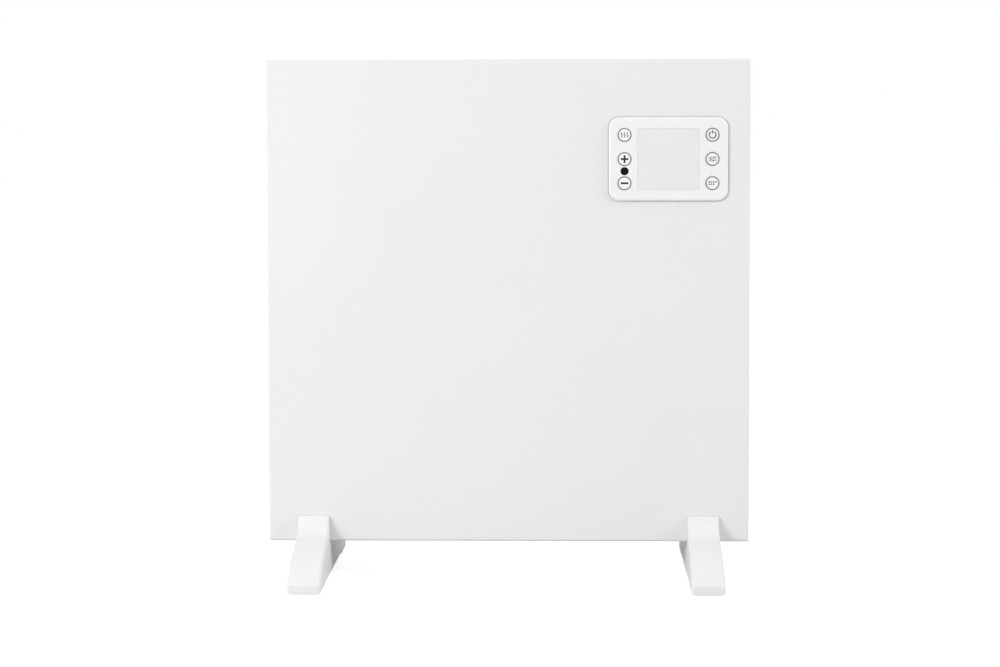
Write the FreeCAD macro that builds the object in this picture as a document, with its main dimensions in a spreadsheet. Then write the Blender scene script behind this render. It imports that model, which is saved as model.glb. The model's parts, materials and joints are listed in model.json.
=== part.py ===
"""A free-standing electric convector heater with a square steel front and a small control unit.

Frame: millimetres, +Z up, the front faces -Y, the viewer's right is +X.
The origin lies on the floor, midway between the feet and midway along them.
"""

import FreeCAD
import Part
import Sketcher

import math
import os
import types

Vector = FreeCAD.Vector

# Driving sizes in millimetres, and in degrees where the name says so
SIZES = {
    # Casing
    "panel_width": 400.0,
    "panel_height": 400.0,
    "body_depth": 50.0,
    "ground_clearance": 29.0,
    "sheet_thickness": 1.0,
    "bend_radius": 2.0,
    "front_flange_depth": 22.0,
    "tray_overlap": 8.0,
    "tray_gap": 0.3,
    # Air slots
    "slot_width": 3.6,
    "slot_pitch": 9.0,
    "roof_slot_inset": 20.0,
    "floor_slot_inset": 22.5,
    "band_slot_inset": 31.0,
    "roof_slot_length": 17.0,
    "back_slot_length": 24.0,
    "slot_margin": 5.0,
    "low_band_rise": 26.0,
    "high_band_drop": 42.0,
    # Posts and screws that close the casing
    "post_diameter": 8.0,
    "post_inset": 13.0,
    "post_margin": 15.0,
    "case_screw": 4.0,
    "small_screw": 3.0,
    "screw_clearance": 0.4,
    "thread_clearance": 0.1,
    "screw_grip": 9.0,
    "tip_reach": 3.0,
    "bore_end": 2.0,
    "case_screw_head": 2.2,
    "small_screw_head": 1.8,
    "foot_screw_head": 2.6,
    "nut_thickness": 3.2,
    # Holes in the back for hanging on a wall
    "keyhole_inset": 80.0,
    "keyhole_drop": 104.0,
    "keyhole_head": 9.0,
    "keyhole_neck": 4.6,
    "keyhole_rise": 10.0,
    # Feet
    "foot_length": 220.0,
    "foot_width": 27.6,
    "foot_inset": 38.0,
    "foot_nose": 8.8,
    "foot_nose_radius": 4.0,
    "foot_arc_radius": 180.0,
    "foot_ledge": 36.0,
    "foot_edge_radius": 2.2,
    "foot_blend_radius": 24.0,
    "foot_lean": 1.0,
    "foot_bevel": 0.7,
    "foot_bevel_height": 1.2,
    "lip_base": 8.7,
    "lip_tip": 2.6,
    "lip_height": 21.5,
    "lip_corner": 2.4,
    "cradle_gap": 0.25,
    "cradle_floor": 4.0,
    "foot_wall": 2.6,
    "foot_cavity": 120.0,
    "contact_length": 36.0,
    "arch_rise": 2.7,
    "foot_screw_spacing": 28.0,
    "foot_screw_shift": 2.0,
    "sole_width": 17.0,
    "sole_length": 28.0,
    "sole_inset": 5.0,
    "sole_recess": 1.6,
    "sole_stand": 0.8,
    "sole_gap": 0.15,
    # Control unit
    "bezel_width": 98.4,
    "bezel_height": 69.2,
    "bezel_corner": 9.0,
    "bezel_rise": 2.2,
    "bezel_edge": 1.8,
    "bezel_overlap": 3.0,
    "bezel_wall": 1.6,
    "recess_depth": 0.5,
    "recess_gap": 0.5,
    "control_inset_right": 18.2,
    "control_inset_top": 47.4,
    "opening_gap": 0.3,
    "board_thickness": 1.6,
    "board_setback": 6.4,
    "board_gap": 0.3,
    "boss_diameter": 5.0,
    "boss_x": 29.5,
    "boss_z": 27.1,
    "pilot_end": 0.5,
    "housing_wall": 2.0,
    "housing_depth": 17.0,
    "housing_post": 6.0,
    "notch_margin": 2.0,
    # Display
    "display_size": 50.6,
    "display_frame": 2.0,
    "display_corner": 1.0,
    "lens_thickness": 1.4,
    "lens_gap": 0.1,
    "module_gap": 0.4,
    "backlight_inset": 0.5,
    # Buttons
    "button_column": 36.1,
    "button_pitch": 19.85,
    "button_diameter": 11.0,
    "button_gap": 0.25,
    "button_proud": 0.5,
    "button_edge": 0.4,
    "button_collar": 12.9,
    "collar_thickness": 1.2,
    "button_travel": 0.8,
    "stem_diameter": 4.0,
    "stem_gap": 0.25,
    "stem_entry": 1.2,
    "switch_block": 6.0,
    "switch_block_height": 3.5,
    "switch_rest": 0.6,
    "eye_diameter": 6.6,
    "eye_stand": 0.6,
    "receiver_size": 5.0,
    "receiver_height": 3.0,
    "receiver_dome": 4.0,
    "receiver_gap": 0.2,
    # Heating element
    "element_rise": 85.0,
    "fin_depth": 30.0,
    "fin_height": 56.0,
    "fin_tip": 3.2,
    "fin_waist": 14.0,
    "rod_diameter": 8.0,
    "rod_overhang": 16.0,
    "pin_diameter": 3.0,
    "pin_length": 8.0,
    "pin_clearance": 7.7,
    "bush_collar": 16.0,
    "bush_neck": 12.0,
    "bush_collar_length": 3.0,
    "bush_neck_length": 5.0,
    "bracket_standoff": 6.0,
    "bracket_thickness": 1.2,
    "bracket_height": 60.0,
    "bracket_flange": 14.0,
    "bracket_reach": 9.0,
    "bracket_screw_spacing": 40.0,
    "reflector_thickness": 0.6,
    "reflector_height": 74.0,
    "reflector_lip": 12.0,
    "cutout_diameter": 15.0,
    "cutout_base_length": 6.0,
    "cutout_cap_length": 4.0,
    "cutout_cap_inset": 2.0,
    "cutout_blade_length": 8.0,
    "cutout_blade_width": 6.0,
    "blade_root": 1.0,
    "blade_thickness": 0.8,
    "cutout_rise": 19.0,
    # Partition between the hot chamber and the electronics
    "partition_gap": 5.0,
    "partition_thickness": 0.8,
    "partition_flange": 14.0,
    "partition_margin": 1.5,
    "grommet_diameter": 12.0,
    "grommet_bore": 8.0,
    "grommet_brim": 2.0,
    "grommet_rise": 46.0,
    # Power board
    "power_width": 76.0,
    "power_height": 106.0,
    "power_rise": 154.0,
    "power_shift": 7.0,
    "standoff_diameter": 6.0,
    "standoff_length": 8.0,
    "standoff_inset": 5.0,
    "standoff_base": 1.0,
    # What stands on the power board
    "left_column": 20.0,
    "module_column": 12.0,
    "fuse_column": 14.0,
    "relay_width": 19.0,
    "relay_height": 15.5,
    "relay_depth": 15.0,
    "relay_lift": 12.0,
    "module_width": 34.0,
    "module_height": 22.0,
    "module_depth": 14.0,
    "module_lift": 2.0,
    "capacitor_width": 18.0,
    "capacitor_height": 8.0,
    "capacitor_depth": 13.0,
    "capacitor_drop": 16.0,
    "fuse_length": 26.0,
    "fuse_diameter": 5.0,
    "fuse_height": 6.0,
    "fuse_drop": 22.0,
    "fuse_clip_spacing": 20.0,
    "fuse_clip_width": 4.0,
    "fuse_clip_height": 6.0,
    "fuse_clip_depth": 7.0,
    "terminal_gap": 1.0,
    "terminal_height": 10.0,
    "terminal_pitch": 8.0,
    "terminal_end": 5.0,
    "terminal_reach": 4.0,
    "driver_diameter": 4.0,
    "driver_depth": 2.5,
    "sensor_plug_shift": 7.0,
    "sensor_plug_width": 9.0,
    "plug_height": 6.0,
    "plug_setback": 1.0,
    "plug_margin": 1.5,
    "ribbon_plug_height": 8.0,
    "ribbon_plug_inset": 2.0,
    "control_plug_depth": 4.5,
    "control_plug_drop": 24.0,
    # Mains switch and cord gland at the back
    "service_rise": 49.0,
    "switch_spread": 23.0,
    "gland_spread": 17.0,
    "gland_bore": 7.2,
    "gland_diameter": 16.0,
    "gland_flange": 22.0,
    "gland_flange_thickness": 3.0,
    "gland_nut_thickness": 5.0,
    "gland_inside": 10.0,
    "gland_outside": 12.0,
    "gland_taper": 1.5,
    "switch_wall": 1.1,
    "switch_flange_thickness": 2.0,
    "switch_depth": 14.0,
    "switch_base": 3.0,
    "switch_blade_width": 4.8,
    "switch_blade_length": 8.0,
    "switch_blade_spacing": 10.0,
    "rocker_tilt_degrees": 12.0,
    "rocker_width": 10.0,
    "rocker_height": 15.2,
    "rocker_gap": 0.3,
    "rocker_swing": 2.0,
    "rocker_rise": 2.6,
    "rocker_skirt": 1.0,
    "rocker_root_depth": 3.0,
    "rocker_root_width": 8.0,
    "pivot_depth": 2.0,
    "pivot_diameter": 2.5,
    "pivot_play": 0.5,
    # Earth stud and room sensor
    "earth_shift": 18.0,
    "earth_rise": 26.0,
    "earth_length": 10.0,
    "earth_base": 1.0,
    "sensor_shift": 2.0,
    "sensor_setback": 16.0,
    "sensor_diameter": 5.0,
    "sensor_length": 14.0,
    "sensor_lift": 3.0,
    "clip_size": 8.0,
    "clip_height": 12.0,
    # Wiring
    "wire_diameter": 2.2,
    "wire_bend": 2.8,
    "wire_plane": 6.0,
    "wire_clearance": 1.4,
    "wire_straight": 1.5,
    "lead_reach": 9.0,
    "lead_spacing": 3.0,
    "lead_dip": 10.0,
    "element_lead_dip": 20.0,
    "riser_gap": 6.0,
    "ledge_entry": 14.0,
    "sensor_lead_setback": 12.0,
    "ribbon_width": 12.0,
    "ribbon_thickness": 1.0,
    "ribbon_bend": 6.0,
}

doc = FreeCAD.newDocument("ConvectorHeater")
sheet = doc.addObject("Spreadsheet::Sheet", "Sizes")
for row, (alias, number) in enumerate(SIZES.items(), start=1):
    sheet.set("A%d" % row, alias)
    sheet.set("B%d" % row, str(number))
    sheet.setAlias("B%d" % row, alias)
doc.recompute()


class Size:
    """A length that keeps its spreadsheet formula together with its present value."""

    def __init__(self, formula, value):
        self.formula = formula
        self.value = value

    def combined(self, sign, other, value):
        return Size("(%s %s %s)" % (self.formula, sign, other.formula), value)

    def __add__(self, other):
        other = as_size(other)
        return self.combined("+", other, self.value + other.value)

    def __sub__(self, other):
        other = as_size(other)
        return self.combined("-", other, self.value - other.value)

    def __mul__(self, other):
        other = as_size(other)
        return self.combined("*", other, self.value * other.value)

    def __truediv__(self, other):
        other = as_size(other)
        return self.combined("/", other, self.value / other.value)

    def __radd__(self, other):
        return as_size(other) + self

    def __rsub__(self, other):
        return as_size(other) - self

    def __rmul__(self, other):
        return as_size(other) * self

    def __neg__(self):
        return Size("(-1 * %s)" % self.formula, -self.value)


def as_size(term):
    """A plain number as a Size; a Size is passed through."""
    if isinstance(term, Size):
        return term
    return Size("(%s)" % float(term), float(term))


S = types.SimpleNamespace()
for alias in SIZES:
    setattr(S, alias, Size("Sizes." + alias, float(sheet.get(alias))))

SUBPARTS = []


def subpart(piece):
    """Marks a finished piece for export under its own label."""
    SUBPARTS.append(piece)
    return piece


# Bound primitives and booleans

ALONG = {
    "x": FreeCAD.Rotation(Vector(0, 1, 0), 90),
    "y": FreeCAD.Rotation(Vector(1, 0, 0), -90),
    "z": FreeCAD.Rotation(),
}


def bind(piece, **sizes):
    for name, size in sizes.items():
        piece.setExpression(name, as_size(size).formula)


def place(piece, x=0, y=0, z=0):
    for axis, size in (("x", x), ("y", y), ("z", z)):
        piece.setExpression("Placement.Base." + axis, as_size(size).formula)


def around(centre, size):
    """The low and high ends of a length laid evenly about a centre."""
    half = as_size(size) / 2
    return (as_size(centre) - half, as_size(centre) + half)


def box(name, x, y, z):
    """A block between a low and a high face on each axis."""
    block = doc.addObject("Part::Box", name)
    bind(
        block,
        Length=as_size(x[1]) - x[0],
        Width=as_size(y[1]) - y[0],
        Height=as_size(z[1]) - z[0],
    )
    place(block, x[0], y[0], z[0])
    return block


def rod(name, axis, diameter, ends, **centre):
    """A cylinder along one axis between two ends, centred on the other two coordinates."""
    cylinder = doc.addObject("Part::Cylinder", name)
    cylinder.Placement = FreeCAD.Placement(Vector(), ALONG[axis])
    bind(cylinder, Radius=as_size(diameter) / 2, Height=as_size(ends[1]) - ends[0])
    centre[axis] = ends[0]
    place(cylinder, **centre)
    return cylinder


def hexagon(name, axis, across_corners, ends, **centre):
    """A six-sided prism along one axis."""
    prism = doc.addObject("Part::Prism", name)
    prism.Polygon = 6
    prism.Placement = FreeCAD.Placement(Vector(), ALONG[axis])
    bind(prism, Circumradius=as_size(across_corners) / 2, Height=as_size(ends[1]) - ends[0])
    centre[axis] = ends[0]
    place(prism, **centre)
    return prism


def join(name, *pieces):
    union = doc.addObject("Part::MultiFuse", name)
    union.Shapes = list(pieces)
    return union


def group(name, pieces):
    """Several separate solids under one name."""
    compound = doc.addObject("Part::Compound", name)
    compound.Links = list(pieces)
    return compound


def cut(name, base, *tools):
    difference = doc.addObject("Part::Cut", name)
    difference.Base = base
    difference.Tool = tools[0] if len(tools) == 1 else group(name + "_tools", tools)
    return difference


def cone(name, axis, low_diameter, high_diameter, ends, **centre):
    """A truncated cone along one axis between two ends."""
    frustum = doc.addObject("Part::Cone", name)
    frustum.Placement = FreeCAD.Placement(Vector(), ALONG[axis])
    bind(
        frustum,
        Radius1=as_size(low_diameter) / 2,
        Radius2=as_size(high_diameter) / 2,
        Height=as_size(ends[1]) - ends[0],
    )
    centre[axis] = ends[0]
    place(frustum, **centre)
    return frustum


def in_order(first, second):
    """Two places along an axis, the lower one first."""
    pair = (as_size(first), as_size(second))
    return pair if pair[0].value < pair[1].value else pair[::-1]


# Proportions of a pan-headed screw: widths as shares of its diameter, heights of its head's height
HEAD_WIDTH = 1.9
HEAD_BRIM = 0.5
CROWN_TAPER = 0.72
RECESS_SPAN = 1.1
RECESS_WIDTH = 0.26
RECESS_DEPTH = 0.6


def cross_recess(name, axis, diameter, ends, centre):
    """The cross-shaped driver recess of a screw, between two ends along its axis."""
    across = [other for other in "xyz" if other != axis]
    arms = []
    for along, over in (across, across[::-1]):
        sides = {axis: ends}
        sides[along] = around(centre.get(along, 0), as_size(diameter) * RECESS_SPAN)
        sides[over] = around(centre.get(over, 0), as_size(diameter) * RECESS_WIDTH)
        arms.append(box("%s_arm_%s" % (name, along), sides["x"], sides["y"], sides["z"]))
    return join(name + "_recess", *arms)


def screw(name, axis, diameter, seat, tip, head_height, **centre):
    """A pan-headed screw whose head sits on the seat and whose shank ends at the tip."""
    outward = 1 if as_size(seat).value > as_size(tip).value else -1
    wide = as_size(diameter) * HEAD_WIDTH
    brim = as_size(seat) + outward * as_size(head_height) * HEAD_BRIM
    crown = as_size(seat) + outward * as_size(head_height)
    narrow = wide * CROWN_TAPER
    rise = (wide, narrow) if outward > 0 else (narrow, wide)
    head = rod(name + "_head", axis, wide, in_order(seat, brim), **dict(centre))
    dome = cone(name + "_dome", axis, *rise, in_order(brim, crown), **dict(centre))
    shank = rod(name + "_shank", axis, diameter, in_order(seat, tip), **dict(centre))
    floor = crown - outward * as_size(head_height) * RECESS_DEPTH
    recess = cross_recess(name, axis, diameter, in_order(floor, crown), centre)
    return cut(name, join(name + "_blank", head, dome, shank), recess)


def nut(name, axis, seat, **centre):
    """A hexagon nut for the larger screws, from its seat along the axis."""
    ends = (seat, as_size(seat) + S.nut_thickness)
    solid = hexagon(name + "_solid", axis, 2 * S.case_screw, ends, **dict(centre))
    bore = rod(name + "_bore", axis, S.case_screw + S.thread_clearance, ends, **dict(centre))
    return cut(name, solid, bore)


# Bound sketches and features

NORMALS = {"XY": "+z", "XZ": "-y", "YZ": "+x"}


def new_body(name):
    return doc.addObject("PartDesign::Body", name)


def sketch(body, name, plane, at=0, shift=(0, 0)):
    """An empty sketch on an origin plane, moved along the plane's axis to the coordinate at."""
    drawn = body.newObject("Sketcher::SketchObject", name)
    origin = next(f for f in body.Origin.OriginFeatures if f.Role == plane + "_Plane")
    drawn.AttachmentSupport = [(origin, "")]
    drawn.MapMode = "FlatFace"
    along = -as_size(at) if NORMALS[plane][0] == "-" else as_size(at)
    for axis, size in (("x", shift[0]), ("y", shift[1]), ("z", along)):
        drawn.setExpression("AttachmentOffset.Base." + axis, as_size(size).formula)
    return drawn


def hold(drawn, kind, size, *where):
    """One dimension of a sketch, bound to its formula."""
    size = as_size(size)
    number = drawn.addConstraint(Sketcher.Constraint(kind, *where, size.value))
    drawn.setExpression("Constraints[%d]" % number, size.formula)


def hold_point(drawn, shape, end, point):
    hold(drawn, "DistanceX", point[0], -1, 1, shape, end)
    hold(drawn, "DistanceY", point[1], -1, 1, shape, end)


def outline(drawn, points, bulges=None):
    """A closed outline, counter-clockwise; bulges gives the radius of the sides that are arcs."""
    bulges = bulges or {}
    first = drawn.GeometryCount
    count = len(points)
    flat = [Vector(as_size(x).value, as_size(y).value, 0) for x, y in points]
    for number in range(count):
        start = flat[number]
        end = flat[(number + 1) % count]
        if number in bulges:
            drawn.addGeometry(arc_between(start, end, bulges[number].value))
        else:
            drawn.addGeometry(Part.LineSegment(start, end))
    for number in range(count):
        following = first + (number + 1) % count
        drawn.addConstraint(Sketcher.Constraint("Coincident", first + number, 2, following, 1))
        hold_point(drawn, first + number, 1, points[number])
    for number, radius in bulges.items():
        hold(drawn, "Radius", radius, first + number)


def arc_between(start, end, radius):
    """The shorter counter-clockwise arc of a given radius between two points."""
    chord = end - start
    middle = (start + end) / 2
    inward = Vector(-chord.y, chord.x, 0)
    inward.normalize()
    centre = middle + inward * math.sqrt(radius * radius - chord.Length * chord.Length / 4)
    top = centre - inward * radius
    return Part.Arc(start, top, end)


def rectangle(drawn, x, y):
    outline(drawn, [(x[0], y[0]), (x[1], y[0]), (x[1], y[1]), (x[0], y[1])])


def rounded_rectangle(drawn, x, y, radius):
    """A rectangle whose corners are quarter circles."""
    left, right = as_size(x[0]), as_size(x[1])
    low, high = as_size(y[0]), as_size(y[1])
    corners = [
        (left + radius, low + radius, 180),
        (right - radius, low + radius, 270),
        (right - radius, high - radius, 0),
        (left + radius, high - radius, 90),
    ]
    first = drawn.GeometryCount
    ends = []
    for across, up, turn in corners:
        centre = Vector(across.value, up.value, 0)
        circle = Part.Circle(centre, Vector(0, 0, 1), as_size(radius).value)
        arc = Part.ArcOfCircle(circle, math.radians(turn), math.radians(turn + 90))
        drawn.addGeometry(arc)
        ends.append((arc.StartPoint, arc.EndPoint))
    for number in range(4):
        drawn.addGeometry(Part.LineSegment(ends[number][1], ends[(number + 1) % 4][0]))
    for number in range(4):
        arc = first + number
        line = first + 4 + number
        following = first + (number + 1) % 4
        drawn.addConstraint(Sketcher.Constraint("Tangent", arc, 2, line, 1))
        drawn.addConstraint(Sketcher.Constraint("Tangent", line, 2, following, 1))
        hold_point(drawn, arc, 3, corners[number][:2])
        hold(drawn, "Radius", radius, arc)


def slot(drawn, centre, ends, width, upright=True):
    """A slot with round ends; centre is across its length and ends are the tips of its length."""
    half = as_size(width) / 2
    low = as_size(ends[0]) + half
    high = as_size(ends[1]) - half
    turns = (0, 180) if upright else (270, 90)
    middles = [(centre, high), (centre, low)] if upright else [(high, centre), (low, centre)]
    first = drawn.GeometryCount
    tips = []
    for (across, up), turn in zip(middles, turns):
        circle = Part.Circle(
            Vector(as_size(across).value, as_size(up).value, 0), Vector(0, 0, 1), half.value
        )
        arc = Part.ArcOfCircle(circle, math.radians(turn), math.radians(turn + 180))
        drawn.addGeometry(arc)
        tips.append((arc.StartPoint, arc.EndPoint))
    drawn.addGeometry(Part.LineSegment(tips[0][1], tips[1][0]))
    drawn.addGeometry(Part.LineSegment(tips[1][1], tips[0][0]))
    for arc, line, other in ((first, first + 2, first + 1), (first + 1, first + 3, first)):
        drawn.addConstraint(Sketcher.Constraint("Tangent", arc, 2, line, 1))
        drawn.addConstraint(Sketcher.Constraint("Tangent", line, 2, other, 1))
    for number in range(2):
        hold_point(drawn, first + number, 3, middles[number])
        hold(drawn, "Radius", half, first + number)


def circle(drawn, centre, diameter):
    size = as_size(diameter)
    middle = Vector(as_size(centre[0]).value, as_size(centre[1]).value, 0)
    shape = drawn.addGeometry(Part.Circle(middle, Vector(0, 0, 1), size.value / 2))
    hold_point(drawn, shape, 3, centre)
    hold(drawn, "Diameter", size, shape)


def plane_of(drawn):
    return drawn.AttachmentSupport[0][0].Role[:2]


def feature(body, kind, drawn, length, backward):
    made = body.newObject("PartDesign::" + kind, drawn.Name + "_" + kind.lower())
    made.Profile = drawn
    made.Reversed = backward
    bind(made, Length=length)
    drawn.Visibility = False
    doc.recompute()
    return made


def pad(body, drawn, length, toward):
    """Adds a sketch's area, grown toward a signed axis."""
    return feature(body, "Pad", drawn, length, toward != NORMALS[plane_of(drawn)])


def pocket(body, drawn, length, toward):
    """Takes a sketch's area away toward a signed axis, and checks that something went."""
    before = body.Shape.Volume
    made = feature(body, "Pocket", drawn, length, toward == NORMALS[plane_of(drawn)])
    if not body.Shape.Volume < before:
        raise RuntimeError("nothing was cut by " + drawn.Name)
    return made


def repeat_along_x(body, name, original, count, pitch):
    """Repeats a feature along +X."""
    pattern = body.newObject("PartDesign::LinearPattern", name)
    axis = next(f for f in body.Origin.OriginFeatures if f.Role == "X_Axis")
    pattern.Originals = [original]
    pattern.Direction = (axis, [""])
    bind(pattern, Occurrences=count, Length=pitch * (count - 1))
    body.Tip = pattern
    doc.recompute()
    return pattern


def count_in(span, pitch):
    """How many places at a pitch fit in a span, with one at each end where they fit evenly."""
    slack = as_size(0.001)
    formula = "(floor((%s + %s) / %s) + 1)" % (span.formula, slack.formula, pitch.formula)
    return Size(formula, math.floor((span.value + slack.value) / pitch.value) + 1)


def round_edges(body, name, radius, pick):
    """Rounds the edges of the body's present shape that pick chooses."""
    base = body.Tip
    edges = ["Edge%d" % number for number, edge in enumerate(base.Shape.Edges, 1) if pick(edge)]
    rounding = body.newObject("PartDesign::Fillet", name)
    rounding.Base = (base, edges)
    bind(rounding, Radius=radius)
    doc.recompute()
    return rounding


def turned(body, name, plane, at, shift, points):
    """A body of revolution about the horizontal axis of its sketch."""
    drawn = sketch(body, name, plane, at, shift)
    outline(drawn, points)
    spin = body.newObject("PartDesign::Revolution", name + "_turned")
    spin.Profile = drawn
    spin.ReferenceAxis = (drawn, ["H_Axis"])
    spin.Angle = 360
    drawn.Visibility = False
    doc.recompute()
    return spin


def lies_at(edge, axis, size, tolerance=1e-4):
    """Whether every point of an edge has one coordinate at a given size."""
    low = getattr(edge.BoundBox, axis + "Min")
    high = getattr(edge.BoundBox, axis + "Max")
    value = as_size(size).value
    return abs(low - value) < tolerance and abs(high - value) < tolerance


# Planes that several pieces share

left = -S.panel_width / 2
right = S.panel_width / 2
bottom = S.ground_clearance
top = S.ground_clearance + S.panel_height
front = -S.body_depth / 2
back = S.body_depth / 2
front_inside = front + S.sheet_thickness
back_inside = back - S.sheet_thickness
tray_inset = S.sheet_thickness + S.tray_gap
front_tray_edge = front + S.front_flange_depth
rear_tray_edge = front_tray_edge - S.tray_overlap
rear_left = left + tray_inset
rear_right = right - tray_inset
rear_bottom = bottom + tray_inset
rear_top = top - tray_inset
floor_inside = rear_bottom + S.sheet_thickness
roof_inside = rear_top - S.sheet_thickness

foot_x = right - S.foot_inset
foot_screw_front = S.foot_screw_shift * -1 - S.foot_screw_spacing / 2
foot_screw_back = foot_screw_front + S.foot_screw_spacing
foot_seat = bottom - S.cradle_floor

control_x = right - S.control_inset_right - S.bezel_width / 2
control_z = top - S.control_inset_top - S.bezel_height / 2
bezel_front = front - S.bezel_rise
bezel_seat = front + S.recess_depth
bezel_plate = S.bezel_rise + S.recess_depth
skirt_half_x = S.bezel_width / 2 - S.bezel_overlap
skirt_half_z = S.bezel_height / 2 - S.bezel_overlap
skirt_corner = S.bezel_corner - S.bezel_overlap
opening_half_x = skirt_half_x + S.opening_gap
opening_half_z = skirt_half_z + S.opening_gap
opening_corner = skirt_corner + S.opening_gap
board_front = bezel_seat + S.board_setback
board_back = board_front + S.board_thickness
housing_back = front_inside + S.housing_depth
button_hole = S.button_diameter + 2 * S.button_gap
eye_z = control_z - S.button_pitch / 2
BOSSES = [(i, j) for i in (-1, 1) for j in (-1, 1)]

partition_x = control_x - S.bezel_width / 2 - S.partition_gap
hot_centre = (left + partition_x) / 2
element_z = bottom + S.element_rise
wire_drop = partition_x - S.grommet_brim - S.wire_diameter / 2 - S.wire_clearance
cutout_blade_end = wire_drop - S.wire_bend - S.wire_straight
cutout_length = S.cutout_base_length + S.cutout_cap_length + S.cutout_blade_length
bracket_right_x = cutout_blade_end - cutout_length - S.bracket_thickness
fin_right = bracket_right_x - S.bracket_standoff
fin_left = rear_left + S.sheet_thickness + S.pin_clearance + S.pin_length + S.rod_overhang
bracket_left_x = fin_left - S.bracket_standoff
flange_face = back_inside - S.bracket_thickness
reflector_face = flange_face - S.reflector_thickness
bracket_screw_x = S.bracket_flange / 2
cutout_z = element_z + S.cutout_rise
grommet_z = element_z + S.grommet_rise
wire_y = S.wire_plane

power_x = control_x + S.power_shift
power_z = bottom + S.power_rise
power_back = back_inside - S.standoff_length
power_front = power_back - S.board_thickness
power_low = power_z - S.power_height / 2
power_high = power_z + S.power_height / 2
terminal_low = power_low + 2 * S.standoff_inset + S.terminal_gap
terminal_top = terminal_low + S.terminal_height
service_z = bottom + S.service_rise
switch_x = control_x - S.switch_spread
gland_x = control_x + S.gland_spread
rocker_hollow_x = S.rocker_width + 2 * S.rocker_gap
rocker_hollow_z = S.rocker_height + S.rocker_swing
switch_shell_x = rocker_hollow_x + 2 * S.switch_wall
switch_shell_z = rocker_hollow_z + 2 * S.switch_wall
switch_blade_end = back - S.switch_depth - S.switch_blade_length
sensor_plug_x = gland_x + S.sensor_plug_shift
POSTS = [(i, j) for i in (-1, 1) for j in (-1, 0, 1)]


def post_place(i, j):
    """Centre of one of the six casing posts: i is left or right, j is low, middle or high."""
    across = i * (right - S.post_inset)
    up = (bottom + top) / 2 + j * (S.panel_height / 2 - S.post_margin)
    return across, up


def boss_place(i, j):
    """Centre of one of the four screw bosses of the control unit."""
    return control_x + i * S.boss_x, control_z + j * S.boss_z


def standoff_place(i, j):
    """Centre of one of the four standoffs of the power board."""
    across = power_x + i * (S.power_width / 2 - S.standoff_inset)
    up = power_z + j * (S.power_height / 2 - S.standoff_inset)
    return across, up


TERMINALS = 5


def terminal_x(number):
    """Place across of one of the five wire entries of the terminal block."""
    return switch_x + number * S.terminal_pitch


def bracket_screw_places():
    """Centres of the four screws that hold the element brackets and the reflector."""
    spread = S.bracket_screw_spacing / 2
    for across in (bracket_left_x + bracket_screw_x, bracket_right_x - bracket_screw_x):
        for up in (element_z - spread, element_z + spread):
            yield across, up


def partition_screw_places():
    """Centres of the three screws that hold the partition to the back."""
    across = partition_x + S.partition_thickness + S.partition_flange / 2
    for j in (-1, 0, 1):
        yield across, (bottom + top) / 2 + j * (S.panel_height / 2 - 2 * S.post_margin)


# Casing


def front_panel():
    """The square steel front: a tray with four flanges, a recess and opening for the control unit."""
    body = new_body("front_panel")
    face = sketch(body, "panel_outline", "XZ", front)
    rectangle(face, (left, right), (bottom, top))
    pad(body, face, S.front_flange_depth, "+y")
    round_edges(body, "panel_bends", S.bend_radius, lambda e: lies_at(e, "Y", front))
    hollow = sketch(body, "panel_hollow", "XZ", front_inside)
    sheet_in = S.sheet_thickness
    rectangle(hollow, (left + sheet_in, right - sheet_in), (bottom + sheet_in, top - sheet_in))
    pocket(body, hollow, S.front_flange_depth, "+y")
    inside = S.bend_radius - S.sheet_thickness
    round_edges(body, "panel_inner_bends", inside, lambda e: lies_at(e, "Y", front_inside))
    recess = sketch(body, "control_recess", "XZ", front)
    rounded_rectangle(
        recess,
        around(control_x, S.bezel_width + 2 * S.recess_gap),
        around(control_z, S.bezel_height + 2 * S.recess_gap),
        S.bezel_corner + S.recess_gap,
    )
    pocket(body, recess, S.recess_depth, "+y")
    opening = sketch(body, "control_opening", "XZ", front)
    rounded_rectangle(
        opening,
        around(control_x, 2 * opening_half_x),
        around(control_z, 2 * opening_half_z),
        opening_corner,
    )
    pocket(body, opening, S.sheet_thickness, "+y")
    holes = sketch(body, "panel_foot_holes", "XY", bottom)
    for side in (-1, 1):
        circle(holes, (side * foot_x, foot_screw_front), S.case_screw + S.screw_clearance)
    pocket(body, holes, S.sheet_thickness, "+z")
    return subpart(body)


def back_holes(body):
    """Screw holes, hanging holes and service holes through the flat back."""
    holes = sketch(body, "back_screw_holes", "XZ", back)
    for i, j in POSTS:
        circle(holes, post_place(i, j), S.case_screw + S.screw_clearance)
    for place_of_screw in list(bracket_screw_places()) + list(partition_screw_places()):
        circle(holes, place_of_screw, S.small_screw + S.screw_clearance)
    circle(holes, (gland_x, service_z), S.gland_diameter + S.screw_clearance)
    rectangle(
        holes,
        around(switch_x, switch_shell_x + S.screw_clearance),
        around(service_z, switch_shell_z + S.screw_clearance),
    )
    pocket(body, holes, S.sheet_thickness, "-y")
    hang_z = top - S.keyhole_drop
    heads = sketch(body, "keyhole_heads", "XZ", back)
    necks = sketch(body, "keyhole_necks", "XZ", back)
    for side in (-1, 1):
        across = side * (right - S.keyhole_inset)
        circle(heads, (across, hang_z), S.keyhole_head)
        slot(necks, across, (hang_z, hang_z + S.keyhole_rise), S.keyhole_neck)
    pocket(body, heads, S.sheet_thickness, "-y")
    pocket(body, necks, S.sheet_thickness, "-y")


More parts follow.
